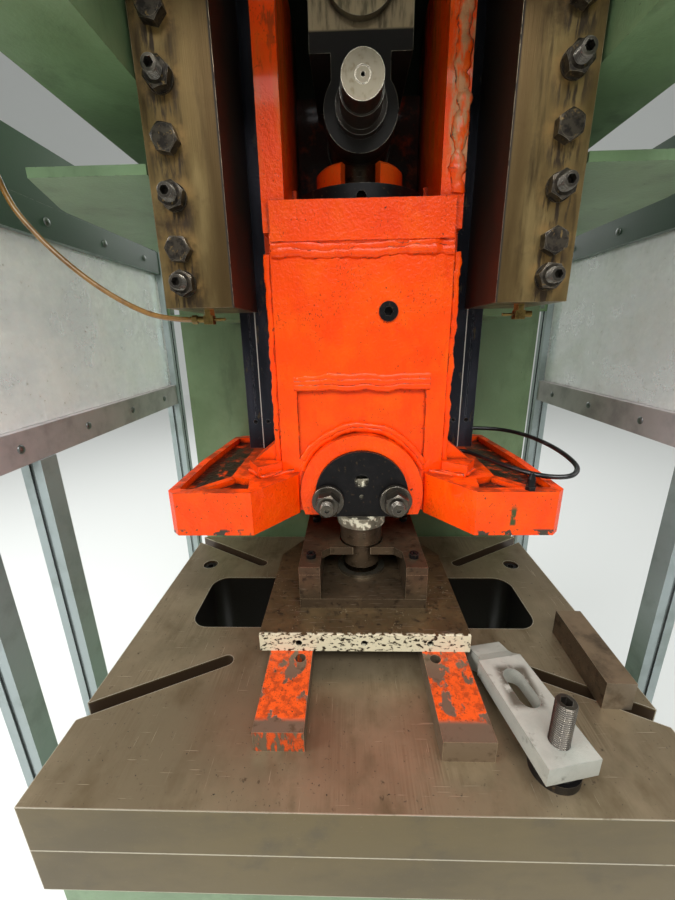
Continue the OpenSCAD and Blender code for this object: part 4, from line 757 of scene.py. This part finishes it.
def turned(profile, sides=48):
    """Vertices and faces of a turned body that stands along Z: its outline as radii and heights."""
    points = [(r * math.cos(2 * math.pi * i / sides), r * math.sin(2 * math.pi * i / sides), z)
              for r, z in profile for i in range(sides)]
    return points, walls(sides, len(profile))


def walls(sides, rows):
    """Faces between rings of points, closed at both ends."""
    faces = [tuple(range(sides - 1, -1, -1))]
    for row in range(rows - 1):
        for i in range(sides):
            j = (i + 1) % sides
            faces.append((row * sides + i, row * sides + j, (row + 1) * sides + j, (row + 1) * sides + i))
    return faces + [tuple((rows - 1) * sides + i for i in range(sides))]


def solid(name, parts, material):
    """One mesh from several lists of vertices in millimetres and faces."""
    points, faces = [], []
    for more, ways in parts:
        start = len(points)
        points += [mm(*p) for p in more]
        faces += [tuple(start + i for i in way) for way in ways]
    mesh = bpy.data.meshes.new(name)
    mesh.from_pydata(points, [], faces)
    return new_object(name, mesh, material)


def split_ring(inner, outer, low, high, y, gap, bevel=4, steps=60):
    """Vertices and faces of an upright collar round (0, y), open at the front by gap degrees to each side."""
    section = (inner, high), (outer - bevel, high), (outer, high - bevel), (outer, low), (inner, low)
    turns = [math.radians(gap - 90 + (360 - 2 * gap) * i / steps) for i in range(steps + 1)]
    points = [(size * math.cos(a), y + size * math.sin(a), height) for a in turns for size, height in section]
    return points, walls(len(section), len(turns))


def polyline(name, lines, flat):
    """A host object whose edges run along lines of points in millimetres, for beads that are flattened along Y."""
    mesh = bpy.data.meshes.new(name)
    points, edges = [], []
    for line in lines:
        start = len(points)
        points += [mm(x, y / flat, z) for x, y, z in line]
        edges += [(start + i, start + i + 1) for i in range(len(line) - 1)]
    mesh.from_pydata(points, edges, [])
    return new_object(name, mesh)


def arc(x, y, z, r, start, end, count=24):
    """Points on an arc in the plane across Y, in millimetres and degrees."""
    angles = [math.radians(start + (end - start) * i / count) for i in range(count + 1)]
    return [(x + r * math.cos(a), y, z + r * math.sin(a)) for a in angles]


def both_sides(lines):
    """Lines of points with their mirror images on the other side."""
    return lines + [[(-x, y, z) for x, y, z in line] for line in lines]


def spline(points, steps=6):
    """The same smooth line through the points as the tubes follow in the frame."""
    p = [Vector(q) for q in points]
    last = len(p) - 1
    line = []
    for i in range(last):
        a, b, c, d = p[max(i - 1, 0)], p[i], p[i + 1], p[min(i + 2, last)]
        for k in range(steps):
            t = k / steps
            line.append(0.5 * ((2 * b) + (c - a) * t + (2 * a - 5 * b + 4 * c - d) * t * t
                               + (3 * b - a - 3 * c + d) * t ** 3))
    return line + [p[last]]


def tube(name, points, radius, material):
    """A round tube as a curve along a smooth line through points in millimetres."""
    line = [mm(*p) for p in spline(points)]
    curve = bpy.data.curves.new(name, "CURVE")
    curve.dimensions = "3D"
    curve.bevel_depth = radius * MM
    curve.bevel_resolution = 4
    curve.use_fill_caps = True
    path = curve.splines.new("POLY")
    path.points.add(len(line) - 1)
    for point, place in zip(path.points, line):
        point.co = (*place, 1.0)
    path.use_smooth = True
    length = sum((b - a).length for a, b in zip(line, line[1:]))
    return new_object(name, curve, material), line[0], length


class PressLooks(bpy.types.PropertyGroup):
    """Sizes and colours of the press that a user would change."""

    orange: bpy.props.FloatVectorProperty(name="Slide paint", description="Colour of the slide's enamel",
                                          subtype="COLOR", size=3, default=linear("#FA4800")[:3])
    green: bpy.props.FloatVectorProperty(name="Frame paint", description="Colour of the frame's enamel",
                                         subtype="COLOR", size=3, default=linear("#647D57")[:3])
    wear: bpy.props.FloatProperty(name="Wear", description="Share of the edges where the paint has gone",
                                  default=0.45, min=0.0, max=1.0, subtype="FACTOR")
    brush_depth: bpy.props.FloatProperty(name="Brush depth", default=0.35, min=0.0, max=1.0,
                                         description="Height of the lumps in the slide's paint, in mm")
    weld_width: bpy.props.FloatProperty(name="Weld width", description="Width of the slide's weld beads",
                                        default=0.016, min=0.004, max=0.03, unit="LENGTH")
    thread_depth: bpy.props.FloatProperty(name="Thread depth", description="Depth of the screw threads",
                                          default=0.0019, min=0.0, max=0.003, unit="LENGTH")


class PRESS_OT_hoses(bpy.types.Operator):
    """Makes the oil tube and the air hose"""

    bl_idname = "press.hoses"
    bl_label = "Hoses"

    def execute(self, context):
        oil = [(-256, -430, 1377), (-285, -428, 1379), (-320, -425, 1386), (-357, -422, 1402), (-399, -420, 1428),
               (-440, -420, 1462), (-476, -420, 1500), (-504, -420, 1542), (-517, -423, 1600), (-520, -427, 1660),
               (-510, -430, 1706), (-484, -430, 1733), (-456, -430, 1741), (-434, -430, 1741)]
        air = [(178, -230, 1155), (205, -230, 1156), (245, -236, 1158), (290, -254, 1159), (322, -292, 1158),
               (342, -345, 1154), (350, -398, 1148), (347, -440, 1141), (328, -462, 1135), (300, -460, 1132),
               (274, -440, 1131), (251, -406, 1131), (233, -370, 1131), (219, -340, 1131), (204, -320, 1132),
               (178, -310, 1132)]
        for name, points, look, slot, node, body in (
            ("oil_tube", oil, "nylon", "nylon_tube", "lube_tube", "press"),
            ("slide_hose", air, "hose", "black_hose", "air_hose", "slide"),
        ):
            piece, start, length = tube(name, points, 4, finish(look))
            settle(piece, body, slot, node)
        return {"FINISHED"}


class PRESS_OT_finishes(bpy.types.Operator):
    """Gives every solid of the frame its procedural finish"""

    bl_idname = "press.finishes"
    bl_label = "Finishes"

    def execute(self, context):
        for key, (_, _, _, nodes, _) in LOOKS.items():
            for node in nodes:
                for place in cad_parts[node].material_slots:
                    place.material = finish(key)
        return {"FINISHED"}


class PRESS_OT_welds(bpy.types.Operator):
    """Lays the weld beads on the slide"""

    bl_idname = "press.welds"
    bl_label = "Welds"

    def execute(self, context):
        looks = context.scene.press_looks
        tree = weld_tree()
        # Where the beads lie: depth on the front, middle and radius round the boss, height on the wings
        front, boss_z, boss_r, wing_z = -397, 1085, 112, 1122
        band = [[(x * 137, front - 1, z + bow * (1 - x * x)) for x in (-1, -0.6, -0.2, 0.2, 0.6, 1)]
                for z, bow in ((1489, 0), (1481, -1), (1473, -2))]
        panel = [[(x * 112, front, z + bow * (1 - x * x)) for x in (-1, -0.5, 0, 0.5, 1)]
                 for z, bow in ((1283, 2), (1276, 1), (1269, -2))]
        arch = [arc(0, front, boss_z, boss_r, 20, 160), arc(0, front, boss_z, boss_r + 6, 24, 150)]
        cheeks = both_sides([
            [(146, -392, 1130), (145, -391, 1260), (146, -392, 1380), (145, -393, 1470)],
            [(112, -396, 1128), (111, -396, 1268)],
        ])
        worn = [[(135, -394, 1545), (136, -394, 1650), (135, -394, 1760), (136, -394, 1810)]]
        feet = both_sides([
            [(142, -402, wing_z), (168, -428, wing_z), (198, -394, wing_z)],
            [(118, -400, wing_z), (138, -404, wing_z - 2), (166, -424, wing_z - 4)],
        ])
        for name, lines, width, ripple, flat in (
            ("band_weld", band, looks.weld_width, 0.7, 0.5),
            ("panel_weld", panel, looks.weld_width * 0.8, 0.7, 0.45),
            ("boss_weld", arch, looks.weld_width * 0.7, 0.6, 0.6),
            ("cheek_welds", cheeks, looks.weld_width * 0.6, 0.9, 0.3),
            ("right_cheek_weld", worn, looks.weld_width * 1.3, 1.2, 0.4),
            ("foot_welds", feet, looks.weld_width * 0.55, 0.9, 1.0),
        ):
            settings = {"Width": width, "Ripple": ripple, "Flat": flat, "Seed": len(name) * 1.0,
                        "Finish": finish("orange")}
            host = polyline(name + "_line", lines, flat)
            bake(host, name, tree, settings, "slide", "orange_paint")
        # The split collar stands on the ring nut, round the adjusting screw
        ring = split_ring(58, 74, low=1570.2, high=1614, y=-260, gap=25)
        settle(solid("screw_collar", [ring], finish("orange")), "slide", "orange_paint")
        return {"FINISHED"}


class PRESS_OT_screws(bpy.types.Operator):
    """Makes the hexagon heads, nuts, threaded studs and round-headed screws"""

    bl_idname = "press.screws"
    bl_label = "Screws"

    def execute(self, context):
        depth = context.scene.press_looks.thread_depth / MM
        washer = [(14, 0), (26.6, 0), (27.5, 1), (27.5, 9), (26.5, 10), (14, 10)]
        collar = [(13, 0), (17, 0), (17, 2.5), (13, 2.5)]
        shapes = {
            "gib_bolt_heads": ([hexagon(30, 14)], "gib_bolts", 0.014, "press"),
            "gib_lock_nuts": ([turned(collar), hexagon(30, 13, 2.5)], "gib_set_screws", 0.03, "press"),
            "stud_nuts": ([turned(washer), hexagon(37, 22, 10)], "cap_nuts", 0.032, "slide"),
        }
        tree = head_tree()
        for seed, (name, (parts, node, foot, body)) in enumerate(shapes.items()):
            head = solid(name + "_shape", parts, finish("bolt"))
            points = [((a.x + b.x) / 2, a.y + foot, (a.z + b.z) / 2) for a, b in islands(node)]
            look = finish("thread" if body == "slide" else "bolt")
            settings = {"Head": head, "Seed": seed, "Finish": look}
            bake(dots(name + "_points", points), name, tree, settings, body, "bolt_steel", node)
            bpy.data.objects.remove(head)
        # The set screws show 44 mm of thread back from their ends, 14 of them inside the gibs; the studs have 50
        pin, threaded = 44, 50
        forward, upward = (0, -1, 0), (0, 0, 1)
        pins, studs, clamps = [], [], []
        for a, b in islands("gib_set_screws"):
            x, _, z = centre(a, b)
            pins.append(screw((x, a.y / MM + pin, z), forward, pin, 10, 2.5, depth, hole=6, hole_depth=10))
        for a, b in islands("cap_studs"):
            x, _, z = centre(a, b)
            length = (b.y - a.y) / MM
            studs.append(screw((x, b.y / MM, z), forward, length, 12, 3, depth, hole=4, hole_depth=3, hole_sides=30,
                               plain=length - threaded))
        for a, b in islands("clamp_screw"):
            x, y, _ = centre(a, b)
            clamps.append(screw((x, y, a.z / MM), upward, (b.z - a.z) / MM, 12, 3, depth, hole=6.9, hole_depth=12))
        for name, parts, body, slot, replaced in (
            ("gib_set_screw_threads", pins, "press", "bolt_steel", []),
            ("stud_threads", studs, "slide", "bright_steel", ["cap_studs"]),
            ("clamp_screw_thread", clamps, "press", "bright_steel", ["clamp_screw"]),
        ):
            settle(solid(name, parts, finish("thread")), body, slot, *replaced)
        # The heads of the guards' screws sit on the rails, 4 mm back from the ends of the CAD ones
        points = [(a.x if a.x > 0 else b.x, (a.y + b.y) / 2, (a.z + b.z) / 2) for a, b in islands("guard_screws")]
        points = [(x + math.copysign(0.004, x), y, z) for x, y, z in points]
        settings = {"Radius": 0.008, "Finish": finish("zinc")}
        bake(dots("guard_points", points), "guard_screw_heads", dome_tree(), settings, "press", "dark_zinc",
             "guard_screws")
        return {"FINISHED"}


class PRESS_OT_stage(bpy.types.Operator):
    """Sets the floor, the light and the camera"""

    bl_idname = "press.stage"
    bl_label = "Stage"

    def execute(self, context):
        scene = context.scene
        scene.view_settings.view_transform = "Standard"
        self.floor()
        self.light(scene)
        self.camera(scene)
        return {"FINISHED"}

    def floor(self):
        """A pale floor that curves up into a backdrop, in metres."""
        front, back, bend, top, half = -12.0, 7.0, 2.0, 9.0, 14.0
        profile = [(front, 0.0), (back, 0.0)]
        profile += [(back + bend * math.sin(a), bend - bend * math.cos(a)) for a in (0.3, 0.6, 0.9, 1.2, 1.5)]
        profile += [(back + bend, top)]
        points = [(x, y, z) for y, z in profile for x in (-half, half)]
        faces = [(2 * i, 2 * i + 1, 2 * i + 3, 2 * i + 2) for i in range(len(profile) - 1)]
        mesh = bpy.data.meshes.new("floor")
        mesh.from_pydata(points, [], faces)
        floor = new_object("floor", mesh, self.backdrop())

    def backdrop(self):
        """The floor's matt finish."""
        material = bpy.data.materials.new("pale_floor")
        tree = emptied(material)
        coat = add(tree, "ShaderNodeBsdfDiffuse", Color=linear("#D8DAD8")).outputs[0]
        add(tree, "ShaderNodeOutputMaterial", Surface=coat)
        return material

    def light(self, scene):
        """A soft room, darker in front than behind, with lamps under its ceiling; places and sizes in metres."""
        world = bpy.data.worlds.new("soft_room")
        tree = emptied(world)
        way = add(tree, "ShaderNodeTexCoord").outputs["Generated"]
        parts = add(tree, "ShaderNodeSeparateXYZ", Vector=way).outputs
        side = add(tree, "ShaderNodeMapRange", Value=parts[1], From_Min=-0.9, From_Max=0.3, To_Min=0.22,
                   To_Max=0.8).outputs[0]
        high = add(tree, "ShaderNodeMapRange", Value=parts[2], From_Min=0.15, From_Max=0.7, To_Min=0.0,
                   To_Max=0.8).outputs[0]
        power = reckon(tree, "MAXIMUM", side, high)
        sky = add(tree, "ShaderNodeBackground", Color=linear("#EEF0EE"), Strength=power).outputs[0]
        add(tree, "ShaderNodeOutputWorld", Surface=sky)
        scene.world = world
        lamps = (
            ("ceiling_front", (0.3, -2.6, 3.6), (0.0, -0.2, 1.1), 2.6, 1.6, 105),
            ("ceiling_left", (-3.2, -1.4, 3.0), (0.0, -0.2, 1.2), 2.2, 2.0, 170),
            ("ceiling_right", (3.2, -0.6, 3.0), (0.0, -0.2, 1.2), 2.2, 2.0, 24),
            ("back_fill", (0.0, 4.0, 3.2), (0.0, 0.4, 1.2), 2.6, 2.0, 60),
        )
        for name, place, aim, width, height, watts in lamps:
            lamp = bpy.data.lights.new(name, "AREA")
            lamp.shape = "RECTANGLE"
            lamp.size, lamp.size_y, lamp.energy = width, height, watts
            piece = new_object(name, lamp)
            piece.location = place
            piece.rotation_euler = (Vector(aim) - Vector(place)).to_track_quat("-Z", "Y").to_euler()

    def camera(self, scene):
        """The photograph's place: close in front of the slide, looking down through a very wide lens."""
        lens = bpy.data.cameras.new("camera")
        sensor, focal_pixels, photo_height = 24.0, 385.83, 900
        lens.sensor_fit = "VERTICAL"
        lens.sensor_height = sensor
        lens.lens = sensor * focal_pixels / photo_height
        lens.clip_start = 0.02
        lens.clip_end = 60
        pitch, yaw, roll = math.radians(16.71), math.radians(-1.7175), math.radians(-0.916)
        ahead = Vector((math.sin(yaw) * math.cos(pitch), math.cos(yaw) * math.cos(pitch), -math.sin(pitch)))
        right = Vector((math.cos(yaw), -math.sin(yaw), 0.0))
        up = right.cross(ahead)
        rolled_right = math.cos(roll) * right + math.sin(roll) * up
        rolled_up = -math.sin(roll) * right + math.cos(roll) * up
        turn = Matrix((rolled_right, rolled_up, -ahead)).transposed().to_4x4()
        scene.camera = new_object("camera", lens)
        scene.camera.matrix_world = Matrix.Translation(mm(-22, -1039.4, 1352.9)) @ turn


class PRESS_PT_panel(bpy.types.Panel):
    """Lists the press's sizes, colours and steps"""

    bl_label = "Press"
    bl_idname = "PRESS_PT_panel"
    bl_space_type = "VIEW_3D"
    bl_region_type = "UI"
    bl_category = "Press"

    def draw(self, context):
        looks = context.scene.press_looks
        for name in looks.__annotations__:
            self.layout.prop(looks, name)
        for step in STEPS:
            self.layout.operator(step.bl_idname)


STEPS = (PRESS_OT_stage, PRESS_OT_hoses, PRESS_OT_finishes, PRESS_OT_welds, PRESS_OT_screws)


def register():
    for kind in (PressLooks, *STEPS, PRESS_PT_panel):
        bpy.utils.register_class(kind)
    bpy.types.Scene.press_looks = bpy.props.PointerProperty(type=PressLooks)


def unregister():
    del bpy.types.Scene.press_looks
    for kind in (PRESS_PT_panel, *reversed(STEPS), PressLooks):
        bpy.utils.unregister_class(kind)


def main():
    register()
    for step in STEPS:
        area, name = step.bl_idname.split(".")
        getattr(getattr(bpy.ops, area), name)()
    bpy.context.view_layer.update()


if __name__ == "__main__":
    main()
